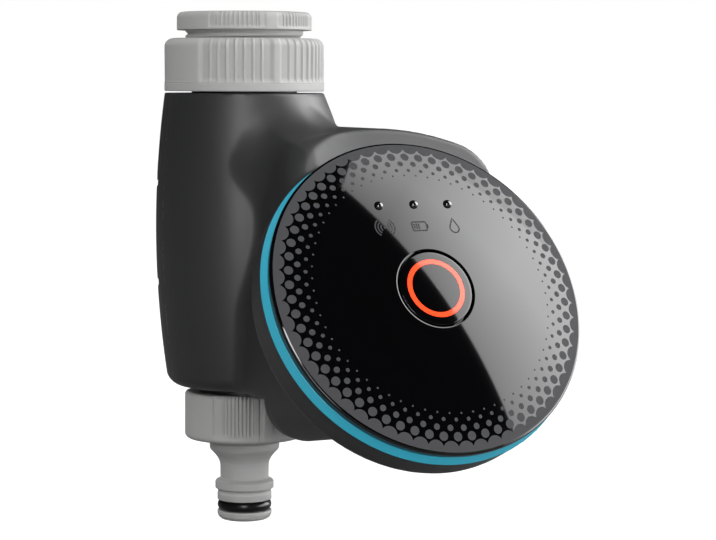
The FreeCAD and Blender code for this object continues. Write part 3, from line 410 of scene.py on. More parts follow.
def barrel_distance(x, y, z):
    """The round barrel, curved along its height, with a flare below its top edge at the front right."""
    (centre_r, centre_z), radius = BARREL_ARC
    turn = np.degrees(np.arctan2(-y, x))
    below_top = np.clip(BARREL_TOP - z, 0, FLARE_HEIGHT)
    flare = FLARE_SLOPE * below_top * ramp(turn, 1.0, 14.0) * fade(turn, 72.0, 100.0)
    side = np.hypot(np.hypot(x, y) - centre_r, z - centre_z) - radius - flare
    return round_common(
        round_common(side, BARREL_BOTTOM - z, BARREL_FOOT_ROUND), z - BARREL_TOP, BARREL_TOP_ROUND,
    )


def face_depth(y, z):
    """Distance out of the plane of the control face's edge."""
    return (y - FACE_CENTRE[1]) * FACE_OUT[1] + (z - FACE_CENTRE[2]) * FACE_OUT[2]


def face_reach(x, y, z):
    """Distance from the control face's axis."""
    up = (y - FACE_CENTRE[1]) * FACE_UP[1] + (z - FACE_CENTRE[2]) * FACE_UP[2]
    return np.hypot(x - FACE_CENTRE[0], up)


def arch_distance(x, z):
    """Distance to the body's upright outline: its crown, its walls and the round shoulders between them."""
    across = np.abs(x - CROWN_X)
    rise = z - CROWN_TOP + CROWN_RADIUS
    shoulder_x = BODY_HALF_WIDTH - SHOULDER
    shoulder_rise = math.sqrt((CROWN_RADIUS - SHOULDER) ** 2 - shoulder_x ** 2)
    a, b = across - shoulder_x, rise - shoulder_rise
    on_shoulder = (b > 0) & (a * shoulder_rise > b * shoulder_x)
    plain = np.maximum(np.hypot(across, rise) - CROWN_RADIUS, across - BODY_HALF_WIDTH)
    return np.where(on_shoulder, np.hypot(a, b) - SHOULDER, plain)


def body_distance(x, y, z):
    """The upright body, cut off by the slope behind the drum.

    Its left wall leans in towards the top, and a step at the bottom leaves the barrel's foot free.
    """
    floor = BODY_FLOOR - FLOOR_SLOPE * np.minimum(y - FLOOR_BEND, 0) - z
    lean = WALL_LEAN * ramp(z, -85.0, -58.0)
    corner = np.hypot(np.maximum(CORNER_X + lean - x, 0), np.maximum(z - CORNER_Z, 0)) - CORNER_RADIUS
    shape = round_common(np.maximum(arch_distance(x, z), corner), floor, FLOOR_ROUND)
    shape = round_common(shape, round_common(x - RIGHT, y, BACK_ROUND), SMALL_ROUND)
    bulge = BULGE_CURVE * np.square(np.clip(BULGE_EDGE - x, 0, BULGE_WIDTH)) * ramp(z, -70.0, -38.0)
    slope_round = 1.0 + 4.0 * fade(x, -4.0, 12.0) * ramp(z, -85.0, -50.0)
    shape = round_common(shape, face_depth(y, z) - SLOPE_DEPTH - bulge, slope_round)
    foot = common(x - FOOT_RIGHT, FOOT_FRONT - y, z - BARREL_BOTTOM)
    return round_common(shape, -foot, SMALL_ROUND)


def drum_distance(x, y, z):
    """The tapered drum that holds the control unit."""
    depth = face_depth(y, z)
    side = face_reach(x, y, z) - DRUM_RADIUS - (depth - DRUM_FRONT) * DRUM_TAPER
    return np.maximum(round_common(side, DRUM_BACK - depth, DRUM_ROUND), depth - DRUM_FRONT)


def neck_round(x, y, z):
    """Radius of the round between barrel and body: small near the barrel's middle, widest above the drum."""
    shelf = ramp(z, -56.0, -40.0) * fade(x, 6.0, 22.0)
    front = 0.8 + fade(y, -24.0, NECK_Y) * (1.8 + 8.0 * shelf)
    return np.where(y > NECK_Y, np.clip(-0.1 * y, 0.3, 0.8), front)


def rooms_distance(x, y, z, barrel, body):
    """The rooms for the cells, the control unit and the valve, and the water's two openings."""
    radius = np.hypot(x, y)
    cells = np.maximum(body + WALL, -barrel)
    unit = np.maximum(face_reach(x, y, z) - UNIT_SEAT_RADIUS, UNIT_SEAT_DEPTH - face_depth(y, z))
    bore = np.maximum(radius - BORE_RADIUS, between(z, BORE_BOTTOM, BORE_TOP))
    inlet = np.maximum(radius - INLET_RADIUS, INLET_BOTTOM - z)
    outlet = np.maximum(radius - OUTLET_RADIUS, z - OUTLET_TOP)
    width, height = np.abs(x - WINDOW_X) - WINDOW_HALF, np.abs(z - WINDOW_Z) - WINDOW_HALF
    window = common(width, height, between(y, WINDOW_FRONT, 0.0), body + WINDOW_SKIN)
    return union(cells, unit, bore, inlet, outlet, window)


def door_distance(y, z, grow):
    """Distance to the battery door's outline, seen from the right, grown all round."""
    dy = np.abs(y - DOOR_Y) - DOOR_HALF_LENGTH + DOOR_CORNER
    dz = np.abs(z - DOOR_Z) - DOOR_HALF_HEIGHT + DOOR_CORNER
    outside = np.hypot(np.maximum(dy, 0), np.maximum(dz, 0))
    return outside + np.minimum(np.maximum(dy, dz), 0) - DOOR_CORNER - grow


def shell_distance(x, y, z):
    """The whole shell: barrel, body and drum outside, and their rooms and openings inside."""
    barrel = barrel_distance(x, y, z)
    body = body_distance(x, y, z)
    upright = round_union(barrel, body, neck_round(x, y, z))
    outside = round_union(upright, drum_distance(x, y, z), DRUM_BLEND)
    shell = np.maximum(outside, -rooms_distance(x, y, z, barrel, body))
    ledge = np.maximum(door_distance(y, z, LEDGE_WIDTH), between(x, *LEDGE_X))
    opening = union(
        np.maximum(door_distance(y, z, DOOR_GAP), DOOR_SEAT_X - x),
        np.maximum(door_distance(y, z, -OPENING_INSET), OPENING_X - x),
    )
    return np.maximum(union(shell, ledge), -opening)


def housing_distance(x, y, z):
    """The shell in front of the barrel's middle."""
    return np.maximum(shell_distance(x, y, z), y)


def cover_distance(x, y, z):
    """The shell behind the barrel's middle, with its screw pockets."""
    solid = np.maximum(shell_distance(x, y, z), COVER_GAP - y)
    for screw_x, screw_z in COVER_SCREWS:
        pocket = np.maximum(np.hypot(x - screw_x, z - screw_z) - SCREW_POCKET_RADIUS, SCREW_POCKET_Y - y)
        solid = np.maximum(solid, -pocket)
    return solid


def slopes(distance, points, step=0.02):
    """Outward directions of a distance at points."""
    x, y, z = points.T
    found = np.stack([
        distance(x + step, y, z) - distance(x - step, y, z),
        distance(x, y + step, z) - distance(x, y - step, z),
        distance(x, y, z + step) - distance(x, y, z - step),
    ], axis=1)
    return found / np.maximum(np.linalg.norm(found, axis=1, keepdims=True), 1e-9)


HALVINGS = 5
CELL_DAMPING = 0.06


def crossings(distance, values, axes, along):
    """Where the surface crosses the grid's lines along one axis.

    Gives the grid places, the points of the surface and whether each line leaves the solid there.
    """
    low = np.take(values, range(values.shape[along] - 1), axis=along)
    high = np.take(values, range(1, values.shape[along]), axis=along)
    places = np.argwhere((low < 0) != (high < 0))
    here = values[tuple(places.T)]
    ends = places.copy()
    ends[:, along] += 1
    there = values[tuple(ends.T)]
    start = np.stack([axes[a][places[:, a]] for a in range(3)], axis=1)
    stop = start.copy()
    stop[:, along] = axes[along][ends[:, along]]
    inside, outside = np.zeros(len(places)), np.ones(len(places))
    leaves = here < 0
    share = here / (here - there)
    for _ in range(HALVINGS):
        value = distance(*(start + (stop - start) * share[:, None]).T)
        below = (value < 0) == leaves
        inside = np.where(below, share, inside)
        outside = np.where(below, outside, share)
        share = (inside + outside) / 2
    return places, start + (stop - start) * share[:, None], leaves


def skin(distance, low, high, step):
    """Points and faces of a distance's surface.

    Each grid cell that the surface crosses gets one point, on the surface's corner or edge if the cell
    holds one. It is the point nearest to all the planes that touch the surface at the cell's crossings.
    """
    axes = [np.arange(low[a], high[a] + step, step) for a in range(3)]
    values = np.empty([len(axis) for axis in axes])
    for index, x in enumerate(axes[0]):
        values[index] = distance(x, axes[1][:, None], axes[2][None, :])
    shape = np.array(values.shape)
    strides = np.array([shape[1] * shape[2], shape[2], 1])
    cells, spots, normals, quads = [], [], [], []
    for along in range(3):
        places, points, leaves = crossings(distance, values, axes, along)
        directions = slopes(distance, points)
        one, two = strides[(along + 1) % 3], strides[(along + 2) % 3]
        home = places @ strides
        around = np.stack([home, home - one, home - one - two, home - two], axis=1)
        around[~leaves] = around[~leaves][:, ::-1]
        cells.append(around.ravel())
        spots.append(np.repeat(points, 4, axis=0))
        normals.append(np.repeat(directions, 4, axis=0))
        quads.append(around)
    names, index = np.unique(np.concatenate(cells), return_inverse=True)
    spots, normals = np.concatenate(spots), np.concatenate(normals)
    count = np.bincount(index)
    middle = np.stack([np.bincount(index, spots[:, a]) for a in range(3)], axis=1) / count[:, None]
    offset = spots - middle[index]
    reach = np.einsum("ij,ij->i", offset, normals)
    matrix = np.empty((len(names), 3, 3))
    target = np.empty((len(names), 3))
    for a in range(3):
        target[:, a] = np.bincount(index, normals[:, a] * reach)
        for b in range(3):
            matrix[:, a, b] = np.bincount(index, normals[:, a] * normals[:, b])
    matrix += np.eye(3) * CELL_DAMPING
    shift = np.linalg.solve(matrix, target[:, :, None])[:, :, 0]
    corner = np.stack([axes[a][(names // strides[a]) % shape[a]] for a in range(3)], axis=1)
    points = np.clip(middle + shift, corner, corner + step)
    faces = np.searchsorted(names, np.concatenate(quads))
    return points, faces


GRID_STEP = 0.8
SKIN_SHARP = 38

points, faces = skin(housing_distance, (-26.5, -92.0, -126.0), (69.0, 1.0, -21.0), GRID_STEP)
piece("housing_skin", points, faces, "dark_shell", "housing", ["main_housing"], SKIN_SHARP)
points, faces = skin(cover_distance, (-26.5, -1.0, -108.0), (26.5, 26.5, -21.0), GRID_STEP)
piece("rear_cover_skin", points, faces, "dark_shell", "housing", ["rear_cover"], SKIN_SHARP)


# Control unit. Its outlines are radii and heights about the face's axis, from the plane of the face's edge.

HOLE_EDGE = 11.0
HOLE_CHAMFER = 0.1
RIM_ROUND = 0.4
BUTTON_EDGE = 10.4
BUTTON_ROUND = 0.25
RING_LIFT = 0.01
AXIS = 0.001
FACE_SEGMENTS = 256
BUTTON_SEGMENTS = 192


def on_dome(radii):
    """Points of an outline on the face's dome."""
    return [(radius, float(dome(radius))) for radius in radii]


def dome_outline():
    """The glossy face, with a chamfer at the button's hole and a round rim."""
    hole = [(HOLE_EDGE, float(dome(HOLE_EDGE)) - HOLE_CHAMFER)]
    top = on_dome([11.27, 11.31, *np.linspace(12, 43.6, 40), 44.1])
    rim = arc((FACE_RADIUS - RIM_ROUND, -RIM_ROUND), RIM_ROUND, 85, 0, 6)
    under = [(FACE_RADIUS, -1.0), (40.0, -1.0), (40.0, 0.2), (HOLE_EDGE, 2.4)]
    return hole + top + rim + under


points, faces = face_lathe(dome_outline()[::-1], FACE_SEGMENTS)
piece("face_dome", points, faces, "black_gloss", "housing", ["face_plate"])

rim = [
    (36.0, -1.05), (44.35, -1.05), (44.5, -1.15), (44.22, -2.95), (44.1, -3.1),
    (40.4, -3.1), (40.4, -12.5), (38.6, -12.5), (38.6, -3.1), (36.0, -3.1),
]
points, faces = face_lathe(rim[::-1], FACE_SEGMENTS)
piece("bezel_rim", points, faces, "rim_black", "housing", ["front_bezel"])

accent = [(40.7, -3.15), (44.1, -3.15), (44.25, -3.25), (45.28, -5.6), (45.2, -5.75), (40.7, -5.75)]
points, faces = face_lathe(accent[::-1], FACE_SEGMENTS)
piece("accent_band", points, faces, "blue_accent", "housing", ["accent_ring"])


def button_outline():
    """The button's glossy cap, with a groove for its light ring, and the flange under the face."""
    centre = (BUTTON_EDGE - BUTTON_ROUND, float(dome(BUTTON_EDGE)) - BUTTON_ROUND)
    edge = arc(centre, BUTTON_ROUND, 0, 85, 5)
    outer = on_dome([10.0, 9.6, 9.2, 8.7, 8.25])
    groove = [(8.25, 3.2), (6.85, 3.2)]
    inner = on_dome([6.85, 6.7, 6.0, 5.0, 4.0, 3.0, 2.0, 1.0, AXIS])
    low = [(AXIS, -2.9), (2.2, -2.9), (2.2, 1.0), (12.4, 1.0), (12.4, 2.1), (BUTTON_EDGE, 2.1)]
    return edge + outer + groove + inner + low


points, faces = face_lathe(button_outline(), BUTTON_SEGMENTS)
piece("button_cap", points, faces, "black_gloss", "button", ["push_button"])

ring_top = [(radius, height + RING_LIFT) for radius, height in on_dome(np.linspace(6.9, 8.2, 8))]
points, faces = face_lathe([(6.87, 3.25)] + ring_top + [(8.23, 3.25)], BUTTON_SEGMENTS)
piece("button_ring", points, faces[:, ::-1], "orange_light", "button", ["button_light_ring"])

LAMPS = [(across, 24.7) for across in (-10.25, 0.0, 10.25)]
LAMP_RADIUS = 1.3
LAMP_SINK = 0.25
GUIDE_RADIUS = 1.25
GUIDE_END = -5.7
LAMP_SEGMENTS = 48


def lamp_points():
    """Light guides that end in small domes."""
    points, faces = [], []
    for across, up in LAMPS:
        level = float(dome(math.hypot(across, up))) - LAMP_SINK
        guide = [(AXIS, GUIDE_END), (GUIDE_RADIUS, GUIDE_END), (GUIDE_RADIUS, level - 0.2)]
        spots, sides = lathe(guide + arc((0, level), LAMP_RADIUS, 0, 89.9, 12), LAMP_SEGMENTS)
        faces += (sides[:, ::-1] + len(points)).tolist()
        points += on_face(spots[:, 0] + across, spots[:, 1] + up, spots[:, 2]).tolist()
    return points, faces


points, faces = lamp_points()
piece("light_domes", points, faces, "lamp_glass", "housing", ["status_lights"])


# Prints on the face

PRINT_LIFT = 0.012
PRINT_EDGE = 44.0
DOTS_PER_ROW = 62
DOT_SIDES = 20
# Each row's radius, the diameter of its dots and its shift in shares of their spacing.
DOT_ROWS = [(43.4, 4.66, 0.5), (40.0, 2.4, 0.0), (37.75, 1.65, 0.5), (35.6, 1.05, 0.0), (33.95, 0.55, 0.5)]


def dot_points():
    """Printed dots in rings on the dome, the outermost cut off by the face's edge."""
    points, faces = [], []
    turn = np.linspace(0, 2 * math.pi, DOT_SIDES, endpoint=False)
    for row_radius, diameter, phase in DOT_ROWS:
        for number in range(DOTS_PER_ROW):
            angle = (number + phase) * 2 * math.pi / DOTS_PER_ROW
            across = row_radius * math.cos(angle) + diameter / 2 * np.cos(turn)
            up = row_radius * math.sin(angle) + diameter / 2 * np.sin(turn)
            radius = np.hypot(across, up)
            limit = np.minimum(radius, PRINT_EDGE)
            across, up = across * limit / radius, up * limit / radius
            start = len(points)
            points += on_face(across, up, dome(limit) + PRINT_LIFT).tolist()
            faces.append(range(start, start + DOT_SIDES))
    return points, faces


points, faces = dot_points()
piece("face_dots", points, faces, "dot_print", "housing")

SYMBOL_LEVEL = 18.1
WAVE_LINE = 0.4
SYMBOL_LINE = 0.42


def line(path, width, closed=False):
    """A printed line of even width along a flat path."""
    path = np.array(path, dtype=float)
    before = np.roll(path, 1, axis=0)
    after = np.roll(path, -1, axis=0)
    if not closed:
        before[0], after[-1] = path[0], path[-1]
    along = after - before
    along /= np.linalg.norm(along, axis=1, keepdims=True)
    side = np.stack([-along[:, 1], along[:, 0]], axis=1) * width / 2
    count = len(path)
    spots = np.concatenate([path + side, path - side])
    last = count if closed else count - 1
    sides = [(i, i + count, (i + 1) % count + count, (i + 1) % count) for i in range(last)]
    return spots, sides


def rectangle(low, high):
    """A printed flat rectangle."""
    (x0, y0), (x1, y1) = low, high
    return [(x0, y0), (x1, y0), (x1, y1), (x0, y1)], [range(4)]


def round_box(low, high, corner):
    """The outline of a flat box with round corners."""
    (x0, y0), (x1, y1) = low, high
    path = arc((x1 - corner, y1 - corner), corner, 0, 90, 5)
    path += arc((x0 + corner, y1 - corner), corner, 90, 180, 5)
    path += arc((x0 + corner, y0 + corner), corner, 180, 270, 5)
    return path + arc((x1 - corner, y0 + corner), corner, 270, 360, 5)


def waves_symbol(x, y):
    """Radio waves: a dot with three arcs on either side."""
    shapes = [(arc((x, y), 0.42, 0, 330, 12), [range(12)])]
    for reach, spread in ((1.15, 48), (1.95, 52), (2.75, 54)):
        for middle in (0, 180):
            shapes.append(line(arc((x, y), reach, middle - spread, middle + spread, 17), WAVE_LINE))
    return shapes


def battery_symbol(x, y):
    """A battery: its outline, its nub and three bars."""
    case = round_box((x - 2.3, y - 1.3), (x + 1.9, y + 1.3), 0.35)
    nub = rectangle((x + 1.9, y - 0.6), (x + 2.45, y + 0.6))
    bars = [rectangle((x + bar - 0.22, y - 0.8), (x + bar + 0.22, y + 0.8)) for bar in (-1.65, -1.0, -0.35)]
    return [line(case, SYMBOL_LINE, closed=True), nub, *bars]


def flank(foot, tip, shares):
    """Points of a slightly bent line from a foot to a tip."""
    run, rise = tip[0] - foot[0], tip[1] - foot[1]
    return [(foot[0] + run * t, foot[1] + rise * (t + 0.12 * t * (1 - t))) for t in shares]


def drop_symbol(x, y):
    """The outline of a drop of water."""
    drop = arc((x, y - 0.75), 1.35, -205, 25, 24)
    tip = (x, y + 2.2)
    path = drop + flank(drop[-1], tip, (0.33, 0.66)) + [tip] + flank(drop[0], tip, (0.66, 0.33))
    return [line(path, SYMBOL_LINE, closed=True)]


def symbol_points():
    """Flat pictograms under the lamps: radio waves, a battery and a drop."""
    points, faces = [], []
    for symbol, (x, _) in zip((waves_symbol, battery_symbol, drop_symbol), LAMPS):
        for spots, sides in symbol(x, SYMBOL_LEVEL):
            across, up = np.array(spots, dtype=float).T
            faces += [[int(i) + len(points) for i in side] for side in sides]
            points += on_face(across, up, dome(np.hypot(across, up)) + PRINT_LIFT).tolist()
    return points, faces


points, faces = symbol_points()
piece("face_symbols", points, faces, "symbol_print", "housing")


# Grey fittings on the water's way. Each relief is a change of radius at an angle, a radius and a height.

GRIP_PANELS = (60, 120, 240, 300)
TAP_PITCH = 1.814
NECK_PITCH = 2.309
FITTING_SEGMENTS = 720
FITTING_SHARP = 50


def turn_from(turn, centre):
    """Turn in degrees from a centre, between -180 and 180."""
    return (turn - centre + 180) % 360 - 180


def bays(angle, half_width, wall):
    """1 in the four grip panels and 0 on the lobes between them, with the sizes in degrees."""
    turn = np.degrees(angle)
    inside = np.zeros_like(turn)
    for centre in GRIP_PANELS:
        inside = np.maximum(inside, fade(np.abs(turn_from(turn, centre)), half_width - wall, half_width))
    return inside


def ridges(angle, count, pitch, width):
    """Rounded upright ridges in the grip panels, 1 on them and 0 beside them, with the sizes in degrees."""
    turn = np.degrees(angle)
    middle = (count - 1) / 2
    rise = np.zeros_like(turn)
    for centre in GRIP_PANELS:
        offset = turn_from(turn, centre)
        number = np.clip(np.round(offset / pitch + middle), 0, count - 1)
        across = np.abs(offset - (number - middle) * pitch) / (width / 2)
        rise = np.maximum(rise, np.where(across < 1, 0.5 + 0.5 * np.cos(math.pi * np.minimum(across, 1)), 0))
    return rise


def thread(angle, height, pitch, depth):
    """Depth of a right-hand thread below its crests."""
    share = (height / pitch - angle / (2 * math.pi)) % 1
    return depth * ramp(np.abs(share - 0.5) * 2, 0.3, 0.85)


def adapter_relief(angle, radius, height):
    """Grip panels round the head, and thread turns on the neck and in the bore."""
    grooves = bays(angle, 19.6, 1.2) * (1 - ridges(angle, 10, 3.9, 2.3))
    grip = bays(angle, 25.5, 2.0) * 0.3 + grooves * 0.4
    on_head = radius > 16.9
    on_neck = (radius > 16.0) & (radius < 16.7) & (height < -5.4)
    in_bore = (radius < 13.4) & (height < -0.6) & (height > -10.6)
    neck_thread = thread(angle, height, NECK_PITCH, 0.75) * fade(height, -6.2, -5.4)
    bore_thread = thread(angle, height, TAP_PITCH, 0.7) * fade(height, -1.6, -0.6) * ramp(height, -10.6, -9.8)
    relief = np.where(on_head, -grip * ramp(height, -4.6, -4.0), 0)
    relief = np.where(on_neck, -neck_thread, relief)
    return np.where(in_bore, bore_thread, relief)


def adapter_outline():
    """The tap adapter: its head, its threaded neck, the seat of its washer and its bore."""
    outline = [(13.9, -0.02), (14.4, 0.0)]
    outline += arc((17.35, -1.65), 1.65, 90, 0, 9)
    outline += arc((18.85, -4.95), 0.15, 0, -90, 3)
    outline += [(16.9, -5.15), (16.6, -5.25), (16.6, -14.0), (9.5, -14.0), (9.5, -13.0)]
    return outline + [(13.6, -13.0), (13.6, -11.0), (13.25, -11.0), (13.25, -0.65)]


points, faces = lathe(subdivided(adapter_outline(), 0.28)[::-1], FITTING_SEGMENTS, adapter_relief)
piece("adapter_shell", points, faces, "grey_plastic", "adapter", ["tap_adapter"], FITTING_SHARP)


def nut_relief(angle, radius, height):
    """Grip panels round the nut, and thread turns in its bore."""
    grip = bays(angle, 28.4, 3.4) * (0.85 - 0.55 * ridges(angle, 7, 6.4, 2.9))
    outside = -grip * ramp(height, -20.1, -18.6) * ramp(radius, 19.4, 20.6)
    in_bore = (radius < 16.8) & (height > -18.7)
    bore_thread = 0.7 - thread(angle, height, NECK_PITCH, 0.7)
    return np.where(radius > 19.4, outside, np.where(in_bore, bore_thread, 0))


def nut_outline():
    """The union nut: its round top, its grip, the flange below it and its bore."""
    outline = [(16.9, -7.4)]
    outline += arc((20.1, -9.8), 2.4, 90, 0, 14)
    outline += [(22.45, -19.4), (22.55, -19.9)]
    outline += arc((22.35, -20.2), 0.2, 60, 0, 4)
    outline += arc((22.3, -21.95), 0.25, 0, -90, 4)
    return outline + [(15.2, -22.2), (15.2, -18.8), (16.7, -18.8), (16.7, -7.6)]


points, faces = lathe(subdivided(nut_outline(), 0.4)[::-1], FITTING_SEGMENTS, nut_relief)
piece("nut_shell", points, faces, "grey_plastic", "nut", ["union_nut"], FITTING_SHARP)


def connector_relief(angle, radius, height):
    """Grip panels round the connector's nut, a moulding seam, and thread turns in its bore."""
    seam = np.exp(-(((np.degrees(angle) - 262.0) / 0.8) ** 2)) * 0.22 * ramp(height, -121.2, -120.6)
    wide = bays(angle, 26.0, 1.8) * ramp(height, -120.0, -118.0)
    grooves = bays(angle, 16.2, 1.2) * (1 - ridges(angle, 9, 3.7, 2.1)) * ramp(height, -118.9, -118.3)
    outside = -(wide * 0.55 + grooves * 0.35) - seam
    in_bore = (radius < 13.3) & (radius > 12.9) & (height < -107.9) & (height > -118.4)
    bore_thread = thread(angle, height, TAP_PITCH, 0.6)
    return np.where(radius > 15.5, outside * ramp(radius, 15.5, 16.3), np.where(in_bore, bore_thread, 0))


def connector_outline():
    """The hose connector: its nut, its waist, the tip with a ridge and the O-ring's groove, and its bore."""
    nut = [(13.2, -107.3)] + arc((15.85, -108.4), 1.1, 90, 0, 8) + arc((15.5, -119.3), 1.5, 0, -62, 8)
    shoulder = [(12.2, -121.3), (11.0, -121.75), (10.3, -121.95), (10.05, -122.1), (10.0, -122.4)]
    waist = [
        (9.95, -123.6), (9.7, -124.3), (8.7, -125.3), (7.75, -126.5), (7.15, -127.7),
        (6.95, -128.9), (6.9, -132.3), (7.05, -132.6), (8.1, -133.15),
    ]
    ridge = arc((8.2, -133.55), 0.15, 60, 0, 3) + arc((8.2, -135.3), 0.15, 0, -60, 3)
    tip = [(7.75, -135.75), (7.6, -135.9), (7.6, -136.7), (7.75, -136.85), (7.75, -138.55), (7.65, -138.7)]
    groove = [(6.35, -138.7), (6.35, -141.75), (7.6, -141.75), (7.75, -141.9)]
    end = arc((5.85, -142.5), 1.9, 0, -90, 10) + [(5.7, -144.4), (5.5, -144.2)]
    bore = [(5.5, -119.0), (13.2, -119.0)]
    return nut + shoulder + waist + ridge + tip + groove + end + bore


points, faces = lathe(subdivided(connector_outline(), 0.4)[::-1], FITTING_SEGMENTS, connector_relief)
piece("connector_shell", points, faces, "grey_plastic", "connector", ["hose_connector"], FITTING_SHARP)

O_RING_RADIUS = 6.5
O_RING_HEIGHT = -140.22
O_RING_HALF_WIDTH = 1.2
O_RING_HALF_HEIGHT = 1.45


def o_ring_outline():
    """The O-ring's section, an upright oval that stands out of its groove."""
    return [
        (O_RING_RADIUS + O_RING_HALF_WIDTH * math.cos(a), O_RING_HEIGHT + O_RING_HALF_HEIGHT * math.sin(a))
        for a in np.linspace(0, 2 * math.pi, 36, endpoint=False)
    ]


points, faces = lathe(o_ring_outline(), 144)
piece("o_ring", points, faces, "rubber", "connector", ["connector_o_ring"])


# Springs, copied from the CAD parts. Their sizes are in metres.


def pressed_spring(name):
    """A copy of a CAD spring that rides on the housing in place of the CAD part."""
    mesh = frame["nodes"][name].data.copy()
    item = placed(name + "_coil", mesh)
    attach(item, "housing")
    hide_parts(name)
    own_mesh(item)


pressed_spring("button_spring")
pressed_spring("plunger_spring")
pressed_spring("diaphragm_spring")


# Studio: lamps, reflected cards, floor, background and camera

MIDDLE = (0, 0, -0.07)
FLOOR = -0.155
FLOOR_HALF = 8
TENT_SIDES = 24
TENT_RADIUS = 9.0
TENT_FOOT = -0.1
TENT_HEIGHT = 20.0
TENT_TOP = 19.5
TENT_TOP_HALF = 12.0


def light(name, size, place, target, power):
    """A soft lamp that doesn't show in reflections, which the cards make instead."""
    data = bpy.data.lights.new(name, "AREA")
    data.shape = "RECTANGLE"
    data.size, data.size_y = size
    data.energy = power
    item = placed(name, data)
    item.location = place
    item.rotation_mode = "QUATERNION"
    item.rotation_quaternion = (Vector(target) - Vector(place)).to_track_quat("-Z", "Y")
    item.visible_glossy = False


# Each lamp's size, place, target and power.
light("key", (0.6, 0.8), (1.0, -0.6, 0.4), (0.02, -0.03, -0.07), 5.7)
light("right", (0.5, 0.5), (1.0, 0.2, 0.05), (0, 0, -0.08), 3)
light("front", (0.7, 0.7), (-0.3, -1.2, 0.6), MIDDLE, 8.5)
light("left", (0.4, 0.8), (-0.8, -0.35, 0.1), MIDDLE, 3.4)
light("top", (0.6, 0.6), (0.1, -0.2, 0.8), MIDDLE, 1.8)
light("low", (0.5, 0.07), (0.5, -0.85, -0.105), (0.01, -0.03, -0.11), 3.6)
light("back", (0.8, 0.6), (-0.3, 1.1, 0.45), MIDDLE, 5)


def sheet(name, low, high, level, look):
    """A flat rectangle."""
    (x0, y0), (x1, y1) = low, high
    mesh = bpy.data.meshes.new(name)
    mesh.from_pydata([(x0, y0, level), (x1, y0, level), (x1, y1, level), (x0, y1, level)], [], [range(4)])
    mesh.materials.append(look)
    return placed(name, mesh)


def card(name, low, high, look, turn, away, centre, upright=True):
    """A flat card of the studio, turned towards a centre, that only reflections see."""
    item = sheet(name, low, high, 0, look)
    item.location = (centre[0] + math.sin(turn) * away, centre[1] - math.cos(turn) * away, centre[2])
    item.rotation_mode = "XYZ"
    item.rotation_euler = (math.radians(90) if upright else 0, 0, turn)
    item.visible_camera = False
    item.visible_diffuse = False
    item.visible_shadow = False
    item.visible_transmission = False


def glow(name, sides=(1.0, 1.0), span=(0.0, 1.0), heights=(0.0, 1.0), top=1.0):
    """Light of a card.

    Its strength changes over a span from one side to the other, and by a factor, top, between two heights.
    """
    made = bpy.data.materials.new(name)
    made.use_nodes = True
    nodes, links = made.node_tree.nodes, made.node_tree.links
    nodes.remove(nodes["Principled BSDF"])
    shine = nodes.new("ShaderNodeEmission")
    place = nodes.new("ShaderNodeTexCoord")
    split = nodes.new("ShaderNodeSeparateXYZ")
    links.new(place.outputs["Object"], split.inputs["Vector"])
    both = nodes.new("ShaderNodeMath")
    both.operation = "MULTIPLY"
    for index, (axis, start, end) in enumerate((("X", span, sides), ("Y", heights, (1.0, top)))):
        change = nodes.new("ShaderNodeMapRange")
        change.inputs["From Min"].default_value, change.inputs["From Max"].default_value = start
        change.inputs["To Min"].default_value, change.inputs["To Max"].default_value = end
        links.new(split.outputs[axis], change.inputs["Value"])
        links.new(change.outputs["Result"], both.inputs[index])
    links.new(both.outputs["Value"], shine.inputs["Strength"])
    links.new(shine.outputs["Emission"], nodes["Material Output"].inputs["Surface"])
    return made


# A tall softbox to the right of the camera, a narrower one beside it and a thin strip near the camera.
face_place = FACE_CENTRE * MM
softbox = glow("softbox", sides=(5.0, 9.0), span=(-1.89, -0.5), heights=(3.4, 6.2), top=0.6)
softbox_side = glow("softbox_side", sides=(7.0, 11.0), span=(-1.0, 0.5), heights=(3.0, 5.0), top=0.7)
strip = glow("strip", sides=(16.0, 16.0))
card("softbox", (-1.89, -0.6), (3.2, 8.6), softbox, math.radians(66), 4.0, face_place)
card("softbox_side", (-1.0, -0.6), (1.0, 5.0), softbox_side, math.radians(88), 3.4, face_place)
card("strip", (-0.05, -0.06), (0.05, 0.4), strip, math.radians(-27), 0.6, (0, 0, -0.08))


def add_tent():
    """A dark tent round the object, which keeps the white room out of the glossy face."""
    look = glow("tent", sides=(0.02, 0.02))
    half = math.tan(math.pi / TENT_SIDES) * TENT_RADIUS
    for side in range(TENT_SIDES):
        turn = (side + 0.5) * 2 * math.pi / TENT_SIDES
        foot, head = (-half, TENT_FOOT), (half, TENT_HEIGHT)
        card(f"tent_{side:02d}", foot, head, look, turn, TENT_RADIUS, (0, 0, TENT_FOOT))
    half = TENT_TOP_HALF
    card("tent_top", (-half, -half), (half, half), look, 0, 0, (0, 0, TENT_TOP), upright=False)


def ray_factor(kinds, tree):
    """A factor that is 1 for some kinds of ray and 0 for all others."""
    path = tree.nodes.new("ShaderNodeLightPath")
    total = path.outputs[kinds[0]]
    for kind in kinds[1:]:
        both = tree.nodes.new("ShaderNodeMath")
        both.operation = "MAXIMUM"
        tree.links.new(total, both.inputs[0])
        tree.links.new(path.outputs[kind], both.inputs[1])
        total = both.outputs["Value"]
    return total


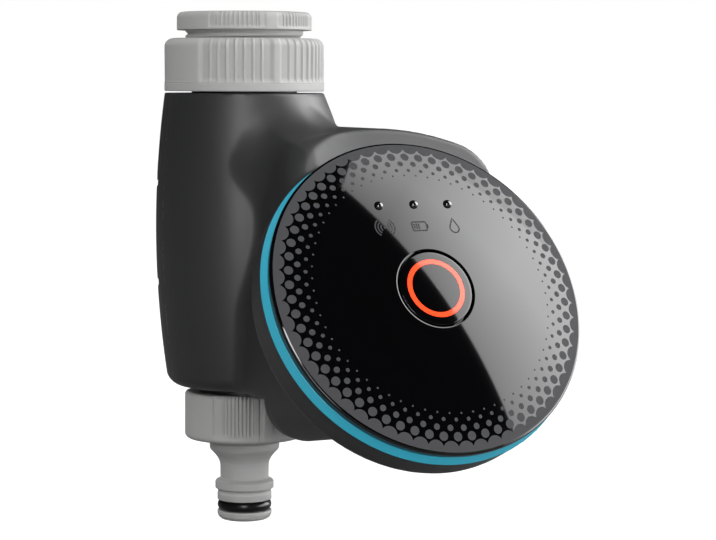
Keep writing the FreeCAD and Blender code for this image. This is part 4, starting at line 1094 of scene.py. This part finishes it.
def add_floor():
    """A plain pale floor. Only the camera sees it glow, so that it blends into the background."""
    look = bpy.data.materials.new("floor")
    look.use_nodes = True
    tree = look.node_tree
    paint = tree.nodes["Principled BSDF"]
    paint.inputs["Base Color"].default_value = (0.15, 0.15, 0.15, 1)
    paint.inputs["Roughness"].default_value = 0.9
    shine = tree.nodes.new("ShaderNodeEmission")
    shine.inputs["Color"].default_value = (0.95, 0.95, 0.95, 1)
    tree.links.new(ray_factor(["Is Camera Ray"], tree), shine.inputs["Strength"])
    both = tree.nodes.new("ShaderNodeAddShader")
    tree.links.new(paint.outputs["BSDF"], both.inputs[0])
    tree.links.new(shine.outputs["Emission"], both.inputs[1])
    tree.links.new(both.outputs["Shader"], tree.nodes["Material Output"].inputs["Surface"])
    floor = sheet("floor", (-FLOOR_HALF, -FLOOR_HALF), (FLOOR_HALF, FLOOR_HALF), FLOOR, look)


def add_background():
    """A white room that lights the object less than it shows."""
    world = bpy.data.worlds.new("studio")
    bpy.context.scene.world = world
    world.use_nodes = True
    tree = world.node_tree
    background = tree.nodes["Background"]
    background.inputs["Color"].default_value = (1, 1, 1, 1)
    strength = tree.nodes.new("ShaderNodeMapRange")
    strength.inputs["To Min"].default_value = 0.35
    strength.inputs["To Max"].default_value = 1.0
    seen = ray_factor(["Is Camera Ray", "Is Glossy Ray", "Is Transmission Ray"], tree)
    tree.links.new(seen, strength.inputs["Value"])
    tree.links.new(strength.outputs["Result"], background.inputs["Strength"])


def add_camera(place, yaw, pitch, roll, lens):
    """The camera at the photograph's viewing angle, with its angles in degrees."""
    data = bpy.data.cameras.new("camera")
    data.sensor_fit = "HORIZONTAL"
    data.sensor_width = 36.0
    data.lens = lens
    camera = placed("camera", data)
    camera.location = place
    yaw, pitch = math.radians(yaw), math.radians(pitch)
    looking = Vector((math.sin(yaw) * math.cos(pitch), math.cos(yaw) * math.cos(pitch), math.sin(pitch)))
    camera.rotation_mode = "QUATERNION"
    camera.rotation_quaternion = looking.to_track_quat("-Z", "Y") @ Quaternion((0, 0, 1), math.radians(roll))
    bpy.context.scene.camera = camera


add_floor()
add_background()
add_tent()
add_camera((-0.2673, -0.6120, -0.0184), yaw=26.37, pitch=-4.67, roll=0.2, lens=118.16)
bpy.context.scene.view_settings.view_transform = "Standard"
